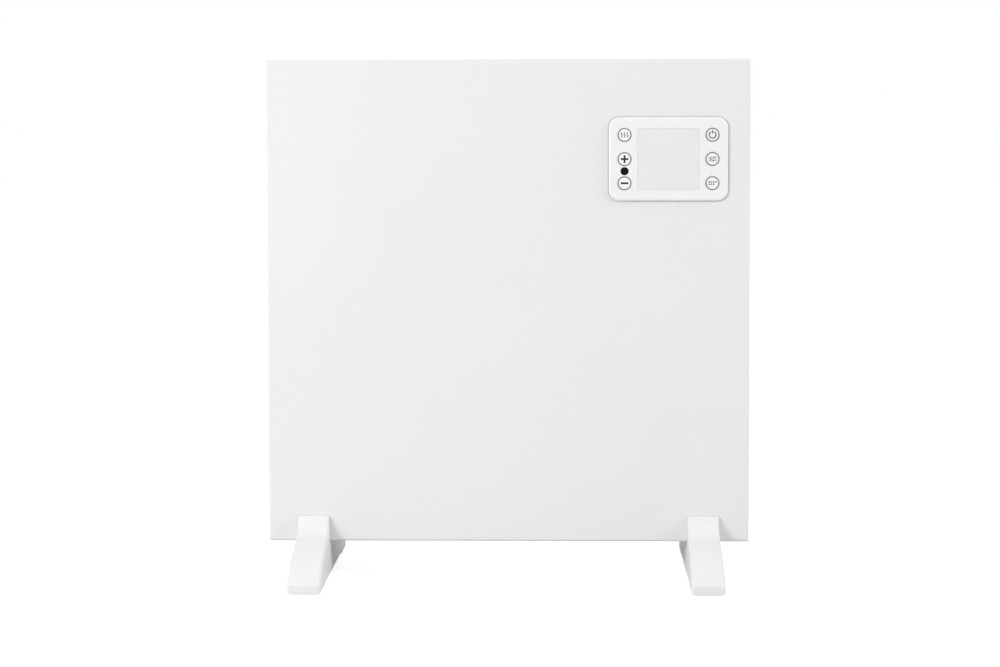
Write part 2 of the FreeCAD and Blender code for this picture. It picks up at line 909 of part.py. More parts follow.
def air_slots(body):
    """Rows of slots: roof and floor for the rising air, two bands in the back."""
    roof_front = front_tray_edge + S.slot_margin
    roof_ends = (roof_front, roof_front + S.roof_slot_length)
    roof_span = S.panel_width - 2 * S.roof_slot_inset
    floor_span = 2 * (foot_x - S.foot_width / 2 - S.floor_slot_inset)
    rows = (("roof", roof_span, rear_top, "-z"), ("floor", floor_span, rear_bottom, "+z"))
    for name, span, level, toward in rows:
        count = count_in(span, S.slot_pitch)
        drawn = sketch(body, name + "_slot", "XY", level)
        slot(drawn, S.slot_pitch * (1 - count) / 2, roof_ends, S.slot_width)
        first = pocket(body, drawn, S.sheet_thickness, toward)
        repeat_along_x(body, name + "_slots", first, count, S.slot_pitch)
    low = bottom + S.low_band_rise
    high = top - S.high_band_drop
    count = count_in(partition_x - left - 2 * S.band_slot_inset, S.slot_pitch)
    for name, start in (("low", low), ("high", high)):
        drawn = sketch(body, name + "_band_slot", "XZ", back)
        first_x = hot_centre + S.slot_pitch * (1 - count) / 2
        slot(drawn, first_x, (start, start + S.back_slot_length), S.slot_width)
        first = pocket(body, drawn, S.sheet_thickness, "-y")
        repeat_along_x(body, name + "_band_slots", first, count, S.slot_pitch)


def rear_cover():
    """The steel back: a tray whose flanges slide inside those of the front."""
    body = new_body("rear_cover")
    face = sketch(body, "cover_outline", "XZ", back)
    rectangle(face, (rear_left, rear_right), (rear_bottom, rear_top))
    depth = back - rear_tray_edge
    pad(body, face, depth, "-y")
    round_edges(body, "cover_bends", S.bend_radius, lambda e: lies_at(e, "Y", back))
    hollow = sketch(body, "cover_hollow", "XZ", back_inside)
    sheet_in = S.sheet_thickness
    rectangle(
        hollow,
        (rear_left + sheet_in, rear_right - sheet_in),
        (rear_bottom + sheet_in, rear_top - sheet_in),
    )
    pocket(body, hollow, depth, "-y")
    inside = S.bend_radius - S.sheet_thickness
    round_edges(body, "cover_inner_bends", inside, lambda e: lies_at(e, "Y", back_inside))
    holes = sketch(body, "cover_foot_holes", "XY", rear_bottom)
    for side in (-1, 1):
        circle(holes, (side * foot_x, foot_screw_back), S.case_screw + S.screw_clearance)
    pocket(body, holes, S.sheet_thickness, "+z")
    back_holes(body)
    air_slots(body)
    return subpart(body)


def case_posts():
    """Six tapped posts welded behind the front, and the screws that close the back on them."""
    posts = []
    screws = []
    for number, (i, j) in enumerate(POSTS, 1):
        x, z = post_place(i, j)
        solid = rod("post_%d" % number, "y", S.post_diameter, (front_inside, back_inside), x=x, z=z)
        bore_ends = (back_inside - S.screw_grip - S.bore_end, back_inside)
        bore = rod("post_bore_%d" % number, "y", S.case_screw + S.thread_clearance, bore_ends, x=x, z=z)
        posts.append(cut("tapped_post_%d" % number, solid, bore))
        tip = back_inside - S.screw_grip
        name = "case_screw_%d" % number
        screws.append(screw(name, "y", S.case_screw, back, tip, S.case_screw_head, x=x, z=z))
    subpart(group("case_posts", posts))
    subpart(group("case_screws", screws))


# Feet


def foot_profile():
    """Side outline of a foot from the front sole round by the back, counter-clockwise."""
    half = S.foot_length / 2
    sole = S.sole_stand
    contact = half - S.contact_length
    arch = sole + S.arch_rise
    slot_half = S.body_depth / 2 + S.cradle_gap
    lip_base = slot_half + S.lip_base
    lip_tip = slot_half + S.lip_tip
    lip_top = bottom + S.lip_height
    step = front_tray_edge + S.tray_gap
    points = [
        (-half, sole),
        (-contact, sole),
        (S.arch_rise - contact, arch),
        (contact - S.arch_rise, arch),
        (contact, sole),
        (half, sole),
        (half, S.foot_nose),
        (lip_base, S.foot_ledge),
        (lip_tip, lip_top),
        (slot_half, lip_top),
        (slot_half, rear_bottom),
        (step, rear_bottom),
        (step, bottom),
        (-slot_half, bottom),
        (-slot_half, lip_top),
        (-lip_tip, lip_top),
        (-lip_base, S.foot_ledge),
        (-half, S.foot_nose),
    ]
    rear_arc, front_arc = 6, 16
    return points, {rear_arc: S.foot_arc_radius, front_arc: S.foot_arc_radius}


def foot(name, side):
    """A moulded foot with two lips that clasp the casing, hollow underneath."""
    body = new_body(name)
    place(body, x=side * foot_x)
    half_width = S.foot_width / 2
    profile = sketch(body, name + "_profile", "YZ")
    points, bulges = foot_profile()
    outline(profile, points, bulges)
    block = pad(body, profile, S.foot_width, "+x")
    block.Midplane = True
    doc.recompute()
    half = S.foot_length / 2
    lip_top = bottom + S.lip_height
    draft = sketch(body, name + "_draft", "XZ", -half)
    high = 2 * lip_top
    inner = half_width - 2 * S.foot_lean
    outer = S.foot_width
    narrow = half_width - S.foot_bevel
    bevel_top = S.sole_stand + S.foot_bevel_height
    beside = [
        (narrow, S.sole_stand),
        (outer, S.sole_stand),
        (outer, high),
        (inner, high),
        (half_width, bevel_top),
    ]
    outline(draft, beside)
    outline(draft, [(-x, z) for x, z in reversed(beside)])
    pocket(body, draft, S.foot_length, "+y")

    def at_nose(edge):
        tall = lies_at(edge, "Z", S.foot_nose)
        return tall and edge.BoundBox.XLength > half_width.value

    round_edges(body, name + "_noses", S.foot_nose_radius, at_nose)

    def at_ledge(edge):
        return lies_at(edge, "Z", S.foot_ledge) and edge.BoundBox.XLength > half_width.value

    round_edges(body, name + "_blends", S.foot_blend_radius, at_ledge)

    near_side = half_width.value - 2 * S.foot_lean.value

    def at_side(edge):
        return edge.BoundBox.XMin > near_side or edge.BoundBox.XMax < -near_side

    round_edges(body, name + "_lips", S.lip_corner, lambda e: at_side(e) and lies_at(e, "Z", lip_top))

    def on_rim(edge):
        high = edge.BoundBox.ZMax
        on_tip = abs(high - lip_top.value) < 1e-3
        above_sole = high > S.foot_nose.value
        outside = edge.BoundBox.YMin > back.value + 1 or edge.BoundBox.YMax < front.value - 1
        return outside and (on_tip or (above_sole and at_side(edge)))

    round_edges(body, name + "_rims", S.foot_edge_radius, on_rim)
    cavity = sketch(body, name + "_cavity", "XY")
    rectangle(cavity, around(0, S.foot_width - 2 * S.foot_wall), around(0, S.foot_cavity))
    pocket(body, cavity, foot_seat, "+z")
    soles = sketch(body, name + "_sole_recess", "XY", S.sole_stand)
    for end in (-1, 1):
        middle = end * (half - S.sole_inset - S.sole_length / 2)
        reach = S.sole_length + 2 * S.sole_gap
        slot(soles, 0, around(middle, reach), S.sole_width + 2 * S.sole_gap)
    pocket(body, soles, S.sole_recess, "+z")
    holes = sketch(body, name + "_screw_holes", "XY", foot_seat)
    for y in (foot_screw_front, foot_screw_back):
        circle(holes, (0, y), S.case_screw + S.screw_clearance)
    pocket(body, holes, S.cradle_floor + tray_inset, "+z")
    return subpart(body)


def foot_soles(name, side):
    """Two rubber pads let into the sole of a foot, one under each end."""
    pads = []
    radius = S.sole_width / 2
    for number, end in enumerate((-1, 1), 1):
        middle = end * (S.foot_length / 2 - S.sole_inset - S.sole_length / 2)
        low, high = around(middle, S.sole_length)
        levels = (0, S.sole_stand + S.sole_recess)
        x = side * foot_x
        part_name = "%s_%d" % (name, number)
        block = box(part_name + "_block", around(x, S.sole_width), (low + radius, high - radius), levels)
        near = rod(part_name + "_near", "z", S.sole_width, levels, x=x, y=low + radius)
        far = rod(part_name + "_far", "z", S.sole_width, levels, x=x, y=high - radius)
        pads.append(join(part_name, block, near, far))
    return subpart(group(name, pads))


def foot_fasteners():
    """Screws up through the cradle of each foot into nuts inside the casing."""
    screws = []
    nuts = []
    number = 0
    for side in (-1, 1):
        rows = ((foot_screw_front, bottom + S.sheet_thickness), (foot_screw_back, floor_inside))
        for y, seat in rows:
            number += 1
            x = side * foot_x
            tip = floor_inside + S.screw_grip / 2
            name = "foot_screw_%d" % number
            screws.append(screw(name, "z", S.case_screw, foot_seat, tip, S.foot_screw_head, x=x, y=y))
            nuts.append(nut("foot_nut_%d" % number, "z", seat, x=x, y=y))
    subpart(group("foot_screws", screws))
    return nuts


# Control unit


def button_places():
    """Name, column and row of each push button; columns are -1 and 1, rows run from the top."""
    return (
        ("button_mode", -1, 1),
        ("button_plus", -1, 0),
        ("button_minus", -1, -1),
        ("button_power", 1, 1),
        ("button_set", 1, 0),
        ("button_week", 1, -1),
    )


def button_place(column, row):
    return control_x + column * S.button_column, control_z + row * S.button_pitch


def eye_place():
    return control_x - S.button_column, eye_z


def control_bezel():
    """The moulded frame of the control unit with a skirt through the front and four bosses."""
    body = new_body("control_bezel")
    face = sketch(body, "bezel_outline", "XZ", bezel_front)
    rounded_rectangle(
        face, around(control_x, S.bezel_width), around(control_z, S.bezel_height), S.bezel_corner
    )
    pad(body, face, bezel_plate, "+y")
    round_edges(body, "bezel_rim", S.bezel_edge, lambda e: lies_at(e, "Y", bezel_front))
    skirt = sketch(body, "bezel_skirt", "XZ", bezel_seat)
    wide, tall = 2 * skirt_half_x, 2 * skirt_half_z
    rounded_rectangle(skirt, around(control_x, wide), around(control_z, tall), skirt_corner)
    rounded_rectangle(
        skirt,
        around(control_x, wide - 2 * S.bezel_wall),
        around(control_z, tall - 2 * S.bezel_wall),
        skirt_corner - S.bezel_wall,
    )
    pad(body, skirt, S.board_setback + S.board_thickness, "+y")
    bosses = sketch(body, "bezel_bosses", "XZ", bezel_seat)
    for i, j in BOSSES:
        circle(bosses, boss_place(i, j), S.boss_diameter)
    pad(body, bosses, S.board_setback, "+y")
    pilots = sketch(body, "bezel_pilot_holes", "XZ", board_front)
    for i, j in BOSSES:
        circle(pilots, boss_place(i, j), S.small_screw + S.thread_clearance)
    pocket(body, pilots, S.board_setback - S.pilot_end, "-y")
    rebate = sketch(body, "display_rebate", "XZ", bezel_front)
    rounded_rectangle(
        rebate,
        around(control_x, S.display_size),
        around(control_z, S.display_size),
        S.display_corner,
    )
    pocket(body, rebate, S.lens_thickness, "+y")
    through = sketch(body, "face_holes", "XZ", bezel_front)
    window = S.display_size - 2 * S.display_frame
    rectangle(through, around(control_x, window), around(control_z, window))
    for _, column, row in button_places():
        circle(through, button_place(column, row), button_hole)
    circle(through, eye_place(), S.eye_diameter + 2 * S.lens_gap)
    pocket(body, through, bezel_plate, "+y")
    return subpart(body)


def display():
    """The clear lens in the rebate, and the display module that stands on the board behind it."""
    body = new_body("display_lens")
    drawn = sketch(body, "lens_outline", "XZ", bezel_front)
    size = S.display_size - 2 * S.lens_gap
    rounded_rectangle(drawn, around(control_x, size), around(control_z, size), S.display_corner)
    pad(body, drawn, S.lens_thickness, "+y")
    subpart(body)
    glass_size = S.display_size - 2 * S.display_frame - 2 * S.module_gap
    glass = box(
        "display_glass",
        around(control_x, glass_size),
        (bezel_front + S.lens_thickness + S.thread_clearance, bezel_seat + S.thread_clearance),
        around(control_z, glass_size),
    )
    frame_size = S.display_size - 2 * S.backlight_inset
    frame = box(
        "display_backlight",
        around(control_x, frame_size),
        (bezel_seat + S.thread_clearance, board_front),
        around(control_z, frame_size),
    )
    subpart(join("display_module", glass, frame))


def eye():
    """The dark round window for the remote control, and the receiver behind it."""
    x, z = eye_place()
    depth = bezel_plate + S.eye_stand
    subpart(rod("eye_window", "y", S.eye_diameter, (bezel_front, bezel_front + depth), x=x, z=z))
    face = board_front - S.receiver_height
    size = S.receiver_size
    block = box("receiver_block", around(x, size), (face, board_front), around(z, size))
    dome_ends = (bezel_front + depth + S.receiver_gap, face)
    dome = rod("receiver_dome", "y", S.receiver_dome, dome_ends, x=x, z=z)
    subpart(join("eye_receiver", block, dome))


def button(name, column, row):
    """A round push button: cap, collar that keeps it in, and stem into its switch."""
    x, z = button_place(column, row)
    cap = S.button_diameter / 2
    collar = S.button_collar / 2
    stem = S.stem_diameter / 2
    cap_front = bezel_front - S.button_proud
    collar_front = bezel_seat + S.thread_clearance / 2
    collar_back = collar_front + S.collar_thickness
    stem_end = board_front - S.switch_block_height + S.stem_entry
    body = new_body(name)
    points = [
        (cap_front, 0),
        (stem_end, 0),
        (stem_end, stem),
        (collar_back, stem),
        (collar_back, collar),
        (collar_front, collar),
        (collar_front, cap),
        (cap_front, cap),
    ]
    turned(body, name + "_profile", "YZ", x, (0, z), points)
    round_edges(body, name + "_edge", S.button_edge, lambda e: lies_at(e, "Y", cap_front))
    return subpart(body)


def control_board():
    """The board of the control unit with its six push switches."""
    body = new_body("control_board")
    drawn = sketch(body, "control_board_outline", "XZ", board_front)
    loss = 2 * (S.bezel_wall + S.board_gap)
    rounded_rectangle(
        drawn,
        around(control_x, 2 * skirt_half_x - loss),
        around(control_z, 2 * skirt_half_z - loss),
        skirt_corner - S.bezel_wall,
    )
    for i, j in BOSSES:
        circle(drawn, boss_place(i, j), S.small_screw + S.screw_clearance)
    pad(body, drawn, S.board_thickness, "+y")
    subpart(body)
    switches = []
    for name, column, row in button_places():
        x, z = button_place(column, row)
        face = board_front - S.switch_block_height
        block = box(
            name + "_block", around(x, S.switch_block), (face, board_front), around(z, S.switch_block)
        )
        depth = S.stem_entry + S.button_travel + S.switch_rest
        bore = rod(
            name + "_bore", "y", S.stem_diameter + 2 * S.stem_gap, (face, face + depth), x=x, z=z
        )
        switches.append(cut(name + "_switch", block, bore))
    subpart(group("push_switches", switches))


def control_housing():
    """The closed box behind the front that clamps the control unit, and its four screws."""
    body = new_body("control_housing")
    wall = S.housing_wall
    shell = sketch(body, "housing_outline", "XZ", front_inside)
    rounded_rectangle(
        shell,
        around(control_x, 2 * (opening_half_x + wall)),
        around(control_z, 2 * (opening_half_z + wall)),
        opening_corner + wall,
    )
    pad(body, shell, S.housing_depth, "+y")
    hollow = sketch(body, "housing_hollow", "XZ", front_inside)
    rounded_rectangle(
        hollow,
        around(control_x, 2 * opening_half_x),
        around(control_z, 2 * opening_half_z),
        opening_corner,
    )
    pocket(body, hollow, S.housing_depth - wall, "+y")
    posts = sketch(body, "housing_posts", "XZ", board_back)
    for i, j in BOSSES:
        circle(posts, boss_place(i, j), S.housing_post)
    pad(body, posts, housing_back - wall - board_back, "+y")
    bores = sketch(body, "housing_bores", "XZ", board_back)
    for i, j in BOSSES:
        circle(bores, boss_place(i, j), S.small_screw + S.screw_clearance)
    pocket(body, bores, housing_back - board_back, "+y")
    notch = sketch(body, "housing_notch", "XZ", board_back)
    floor = control_z - opening_half_z
    wide = S.ribbon_width + S.notch_margin
    rectangle(notch, around(control_x, wide), (floor - 2 * wall, floor + wall / 2))
    pocket(body, notch, housing_back - wall - board_back, "+y")
    subpart(body)
    screws = []
    for number, (i, j) in enumerate(BOSSES, 1):
        x, z = boss_place(i, j)
        name = "control_screw_%d" % number
        tip = bezel_seat + S.sheet_thickness
        head = S.small_screw_head
        screws.append(screw(name, "y", S.small_screw, housing_back, tip, head, x=x, z=z))
    subpart(group("control_screws", screws))


# Heating element


def element():
    """The aluminium extrusion with X-shaped fins and the sheathed rod through its middle."""
    body = new_body("element_fins")
    half_y = S.fin_depth / 2
    half_z = S.fin_height / 2
    waist = S.fin_waist / 2
    tip = half_z - S.fin_tip
    drawn = sketch(body, "fin_section", "YZ", fin_left, (0, element_z))
    outline(
        drawn,
        [
            (waist, 0),
            (half_y, tip),
            (half_y, half_z),
            (0, waist),
            (-half_y, half_z),
            (-half_y, tip),
            (-waist, 0),
            (-half_y, -tip),
            (-half_y, -half_z),
            (0, -waist),
            (half_y, -half_z),
            (half_y, -tip),
        ],
    )
    circle(drawn, (0, 0), S.rod_diameter + S.thread_clearance)
    pad(body, drawn, fin_right - fin_left, "+x")
    subpart(body)
    sheath_ends = (fin_left - S.rod_overhang, fin_right + S.rod_overhang)
    pin_ends = (sheath_ends[0] - S.pin_length, sheath_ends[1] + S.pin_length)
    sheath = rod("rod_sheath", "x", S.rod_diameter, sheath_ends, y=0, z=element_z)
    pins = rod("rod_pins", "x", S.pin_diameter, pin_ends, y=0, z=element_z)
    subpart(join("element_rod", sheath, pins))


def element_bracket(name, side):
    """A bent steel bracket that carries one end of the element, and its ceramic bush."""
    outer = bracket_left_x if side < 0 else bracket_right_x
    body = new_body(name)
    drawn = sketch(body, name + "_section", "XY", element_z - S.bracket_height / 2)
    plate = outer + side * S.bracket_thickness
    flange = outer - side * S.bracket_flange
    path = [
        (plate, -S.bracket_reach),
        (plate, back_inside),
        (flange, back_inside),
        (flange, flange_face),
        (outer, flange_face),
        (outer, -S.bracket_reach),
    ]
    outline(drawn, path if side > 0 else path[::-1])
    pad(body, drawn, S.bracket_height, "+z")
    bush_hole = sketch(body, name + "_bush_hole", "YZ", outer if side > 0 else plate)
    circle(bush_hole, (0, element_z), S.bush_neck + S.thread_clearance)
    pocket(body, bush_hole, S.bracket_thickness, "+x")
    holes = sketch(body, name + "_screw_holes", "XZ", flange_face)
    for shift in (-1, 1):
        centre = (outer - side * bracket_screw_x, element_z + shift * S.bracket_screw_spacing / 2)
        circle(holes, centre, S.small_screw + S.thread_clearance)
    pocket(body, holes, S.bracket_thickness, "+y")
    subpart(body)


def element_bush(number, side):
    """One ceramic bush: a collar against the inner face of its bracket and a neck through it."""
    outer = bracket_left_x if side < 0 else bracket_right_x
    collar_end = outer - side * S.bush_collar_length
    neck_end = outer + side * S.bush_neck_length
    collar_ends = (outer, collar_end) if side < 0 else (collar_end, outer)
    neck_ends = (neck_end, outer) if side < 0 else (outer, neck_end)
    name = "bush_%d" % number
    collar = rod(name + "_collar", "x", S.bush_collar, collar_ends, y=0, z=element_z)
    neck = rod(name + "_neck", "x", S.bush_neck, neck_ends, y=0, z=element_z)
    whole = join(name + "_solid", collar, neck)
    bore_ends = (neck_end, collar_end) if side < 0 else (collar_end, neck_end)
    bore_size = S.rod_diameter + S.thread_clearance
    bore = rod(name + "_bore", "x", bore_size, bore_ends, y=0, z=element_z)
    return cut(name, whole, bore)


def element_mounting():
    """Brackets, bushes and the reflector that lies on the flanges of the brackets."""
    element_bracket("element_bracket_left", -1)
    element_bracket("element_bracket_right", 1)
    subpart(group("element_bushes", [element_bush(1, -1), element_bush(2, 1)]))
    body = new_body("heat_reflector")
    low = element_z - S.reflector_height / 2
    high = element_z + S.reflector_height / 2
    lip = flange_face - S.reflector_lip
    thin = S.reflector_thickness
    start = bracket_left_x + S.tray_gap
    drawn = sketch(body, "reflector_section", "YZ", start)
    outline(
        drawn,
        [
            (lip, low),
            (flange_face, low),
            (flange_face, high),
            (lip, high),
            (lip, high - thin),
            (reflector_face, high - thin),
            (reflector_face, low + thin),
            (lip, low + thin),
        ],
    )
    pad(body, drawn, bracket_right_x - S.tray_gap - start, "+x")
    holes = sketch(body, "reflector_holes", "XZ", reflector_face)
    for centre in bracket_screw_places():
        circle(holes, centre, S.small_screw + S.screw_clearance)
    pocket(body, holes, S.reflector_thickness, "+y")
    subpart(body)


def back_screws():
    """The seven equal screws from the back into the brackets and the partition."""
    screws = []
    places = list(bracket_screw_places()) + list(partition_screw_places())
    for number, (x, z) in enumerate(places, 1):
        tip = reflector_face - S.tip_reach
        name = "back_screw_%d" % number
        screws.append(screw(name, "y", S.small_screw, back, tip, S.small_screw_head, x=x, z=z))
    subpart(group("back_screws", screws))


def thermal_cutout():
    """A round cut-out switch on the outer face of the right bracket, with two blades."""
    face = bracket_right_x + S.bracket_thickness
    y = wire_y / 2
    shoulder = face + S.cutout_base_length
    end = shoulder + S.cutout_cap_length
    cap_size = S.cutout_diameter - 2 * S.cutout_cap_inset
    base = rod("cutout_base", "x", S.cutout_diameter, (face, shoulder), y=y, z=cutout_z)
    cap = rod("cutout_cap", "x", cap_size, (shoulder, end), y=y, z=cutout_z)
    blades = [
        box(
            "cutout_blade_%d" % n,
            (end - S.blade_root, cutout_blade_end),
            around(at, S.blade_thickness),
            around(cutout_z, S.cutout_blade_width),
        )
        for n, at in enumerate((as_size(0), wire_y), 1)
    ]
    subpart(join("thermal_cutout", base, cap, *blades))


# Partition and electronics


def partition():
    """The steel wall between the hot chamber and the electronics, with its grommet."""
    body = new_body("partition_plate")
    low = floor_inside + S.partition_margin
    high = roof_inside - S.partition_margin
    face = partition_x + S.partition_thickness
    thin = back_inside - S.partition_thickness
    drawn = sketch(body, "partition_section", "XY", low)
    outline(
        drawn,
        [
            (partition_x, front_inside + S.partition_margin),
            (face, front_inside + S.partition_margin),
            (face, thin),
            (face + S.partition_flange, thin),
            (face + S.partition_flange, back_inside),
            (partition_x, back_inside),
        ],
    )
    pad(body, drawn, high - low, "+z")
    grommet_hole = sketch(body, "grommet_hole", "YZ", partition_x)
    circle(grommet_hole, (wire_y, grommet_z), S.grommet_diameter)
    pocket(body, grommet_hole, S.partition_thickness, "+x")
    holes = sketch(body, "partition_holes", "XZ", thin)
    for centre in partition_screw_places():
        circle(holes, centre, S.small_screw + S.thread_clearance)
    pocket(body, holes, S.partition_thickness, "+y")
    subpart(body)
    gap = S.thread_clearance / 2
    brim = S.grommet_diameter + 2 * S.grommet_brim
    whole_ends = (partition_x - S.grommet_brim, face + S.grommet_brim)
    near_ends = (whole_ends[0], partition_x - gap)
    far_ends = (face + gap, whole_ends[1])
    near = rod("grommet_near", "x", brim, near_ends, y=wire_y, z=grommet_z)
    far = rod("grommet_far", "x", brim, far_ends, y=wire_y, z=grommet_z)
    neck_size = S.grommet_diameter - S.thread_clearance
    neck = rod("grommet_neck", "x", neck_size, whole_ends, y=wire_y, z=grommet_z)
    bore = rod("grommet_hollow", "x", S.grommet_bore, whole_ends, y=wire_y, z=grommet_z)
    subpart(cut("partition_grommet", join("grommet_solid", near, far, neck), bore))


def power_board():
    """The power board on four standoffs behind the control unit's column, with its screws."""
    body = new_body("power_board")
    drawn = sketch(body, "power_board_outline", "XZ", power_front)
    rectangle(drawn, around(power_x, S.power_width), around(power_z, S.power_height))
    for i, j in BOSSES:
        circle(drawn, standoff_place(i, j), S.small_screw + S.screw_clearance)
    pad(body, drawn, S.board_thickness, "+y")
    subpart(body)
    standoffs = []
    screws = []
    for number, (i, j) in enumerate(BOSSES, 1):
        x, z = standoff_place(i, j)
        ends = (power_back, back_inside)
        solid = rod("standoff_solid_%d" % number, "y", S.standoff_diameter, ends, x=x, z=z)
        bore_ends = (power_back, back_inside - S.standoff_base)
        bore_size = S.small_screw + S.thread_clearance
        bore = rod("standoff_bore_%d" % number, "y", bore_size, bore_ends, x=x, z=z)
        standoffs.append(cut("standoff_%d" % number, solid, bore))
        tip = back_inside - S.tip_reach
        name = "board_screw_%d" % number
        screws.append(screw(name, "y", S.small_screw, power_front, tip, S.small_screw_head, x=x, z=z))
    subpart(group("board_standoffs", standoffs))
    subpart(group("board_screws", screws))


def power_components():
    """What stands on the power board: relay, supply, filter, fuse and connectors."""

    def on_board(name, dx, dz, wide, tall, deep):
        return box(
            name,
            around(power_x + dx, wide),
            (power_front - deep, power_front),
            around(power_z + dz, tall),
        )

    relay_size = (S.relay_width, S.relay_height, S.relay_depth)
    module_size = (S.module_width, S.module_height, S.module_depth)
    capacitor_size = (S.capacitor_width, S.capacitor_height, S.capacitor_depth)
    clip_size = (S.fuse_clip_width, S.fuse_clip_height, S.fuse_clip_depth)
    subpart(on_board("relay", -S.left_column, S.relay_lift, *relay_size))
    subpart(on_board("power_module", S.module_column, S.module_lift, *module_size))
    subpart(on_board("filter_capacitor", -S.left_column, -S.capacitor_drop, *capacitor_size))
    clips = [
        on_board("fuse_clip_%d" % n, clip_x, -S.fuse_drop, *clip_size)
        for n, clip_x in enumerate(around(S.fuse_column, S.fuse_clip_spacing), 1)
    ]
    tube_ends = around(power_x + S.fuse_column, S.fuse_length)
    tube_y = power_front - S.fuse_height
    tube = rod("fuse_tube", "x", S.fuse_diameter, tube_ends, y=tube_y, z=power_z - S.fuse_drop)
    subpart(join("mains_fuse", tube, *clips))
    terminal_face = wire_y - S.terminal_reach
    block = box(
        "terminal_solid",
        (terminal_x(0) - S.terminal_end, terminal_x(TERMINALS - 1) + S.terminal_end),
        (terminal_face, power_front),
        (terminal_low, terminal_top),
    )
    drivers = [
        rod(
            "terminal_driver_%d" % n,
            "y",
            S.driver_diameter,
            (terminal_face, terminal_face + S.driver_depth),
            x=terminal_x(n),
            z=(terminal_low + terminal_top) / 2,
        )
        for n in range(TERMINALS)
    ]
    subpart(cut("terminal_block", block, *drivers))
    sensor_plug = box(
        "sensor_plug",
        around(sensor_plug_x, S.sensor_plug_width),
        (wire_y + S.plug_setback, power_front),
        (terminal_low, terminal_low + S.plug_height),
    )
    plug_width = S.ribbon_width + 2 * S.plug_margin
    ribbon_plug_top = power_high - S.ribbon_plug_inset
    ribbon_plug = box(
        "ribbon_plug",
        around(control_x, plug_width),
        (wire_y - S.plug_setback, power_front),
        (ribbon_plug_top - S.ribbon_plug_height, ribbon_plug_top),
    )
    control_plug_low = control_z - S.control_plug_drop
    board_plug = box(
        "control_plug",
        around(control_x, plug_width),
        (board_back, board_back + S.control_plug_depth),
        (control_plug_low, control_plug_low + S.plug_height),
    )
    subpart(group("signal_connectors", [sensor_plug, ribbon_plug, board_plug]))


# Service fittings at the back


def mains_switch():
    """The rocker switch: a frame through the back, and a rocker on two short pivots."""
    pivot_y = back - S.pivot_depth
    flange_face = back + S.switch_flange_thickness
    shell_back = back - S.switch_depth
    flange = box(
        "switch_flange",
        around(switch_x, switch_shell_x + 2 * S.switch_wall),
        (back, flange_face),
        around(service_z, switch_shell_z + 2 * S.switch_wall),
    )
    shell = box(
        "switch_shell",
        around(switch_x, switch_shell_x),
        (shell_back, back + S.switch_flange_thickness / 2),
        around(service_z, switch_shell_z),
    )
    hollow = box(
        "switch_hollow",
        around(switch_x, rocker_hollow_x),
        (shell_back + S.switch_base, flange_face),
        around(service_z, rocker_hollow_z),
    )
    pivot_hole = S.pivot_diameter + S.pivot_play
    hole_ends = around(switch_x, switch_shell_x)
    pivots = rod("switch_pivot_holes", "x", pivot_hole, hole_ends, y=pivot_y, z=service_z)
    shell = cut("switch_frame", join("switch_solid", flange, shell), hollow, pivots)
    subpart(shell)
    blades = [
        box(
            "switch_blade_%d" % n,
            around(switch_x, S.switch_blade_width),
            (switch_blade_end, shell_back),
            around(level, S.blade_thickness),
        )
        for n, level in enumerate(around(service_z, S.switch_blade_spacing), 1)
    ]
    subpart(group("switch_blades", blades))
    body = new_body("switch_rocker")
    body.Placement = FreeCAD.Placement(
        Vector(), FreeCAD.Rotation(Vector(1, 0, 0), S.rocker_tilt_degrees.value)
    )
    place(body, switch_x, pivot_y, service_z)
    half = S.rocker_height / 2
    rise = half * math.tan(math.radians(S.rocker_tilt_degrees.value))
    drawn = sketch(body, "rocker_section", "YZ")
    outline(
        drawn,
        [
            (-S.rocker_root_depth, -S.rocker_root_width / 2),
            (S.rocker_skirt, -half),
            (S.rocker_rise + rise, -half),
            (S.rocker_rise, 0),
            (S.rocker_rise + rise, half),
            (S.rocker_skirt, half),
            (-S.rocker_root_depth, S.rocker_root_width / 2),
        ],
    )
    key = pad(body, drawn, S.rocker_width, "+x")
    key.Midplane = True
    doc.recompute()
    pins = sketch(body, "rocker_pins", "YZ")
    circle(pins, (0, 0), S.pivot_diameter)
    trunnions = pad(body, pins, switch_shell_x - S.screw_clearance, "+x")
    trunnions.Midplane = True
    doc.recompute()
    subpart(body)


def cord_gland():
    """The empty cord gland: flanged body through the back and the nut inside."""
    body = new_body("cord_gland")
    bore = S.gland_bore / 2
    thread = S.gland_diameter / 2
    brim = S.gland_flange / 2
    inner_end = back - S.gland_inside
    outer_end = back + S.gland_outside
    shoulder = back + S.gland_flange_thickness
    points = [
        (inner_end, bore),
        (outer_end, bore),
        (outer_end, thread - S.gland_taper),
        (shoulder, thread),
        (shoulder, brim),
        (back, brim),
        (back, thread),
        (inner_end, thread),
    ]
    turned(body, "gland_profile", "YZ", gland_x, (0, service_z), points)
    subpart(body)
    ends = (back_inside - S.gland_nut_thickness, back_inside)
    solid = hexagon("gland_nut_solid", "y", S.gland_flange, ends, x=gland_x, z=service_z)
    hole = rod(
        "gland_nut_bore", "y", S.gland_diameter + S.thread_clearance, ends, x=gland_x, z=service_z
    )
    subpart(cut("gland_nut", solid, hole))


def earth_post():
    """The earth stud on the back; returns where its nut goes."""
    x = gland_x + S.earth_shift
    z = service_z + S.earth_rise
    shank_ends = (back_inside - S.earth_length, back_inside)
    base_ends = (back_inside - S.earth_base, back_inside)
    stud = rod("earth_shank", "y", S.case_screw, shank_ends, x=x, z=z)
    base = rod("earth_disc", "y", 2 * S.case_screw, base_ends, x=x, z=z)
    subpart(join("earth_stud", stud, base))
    return x, z


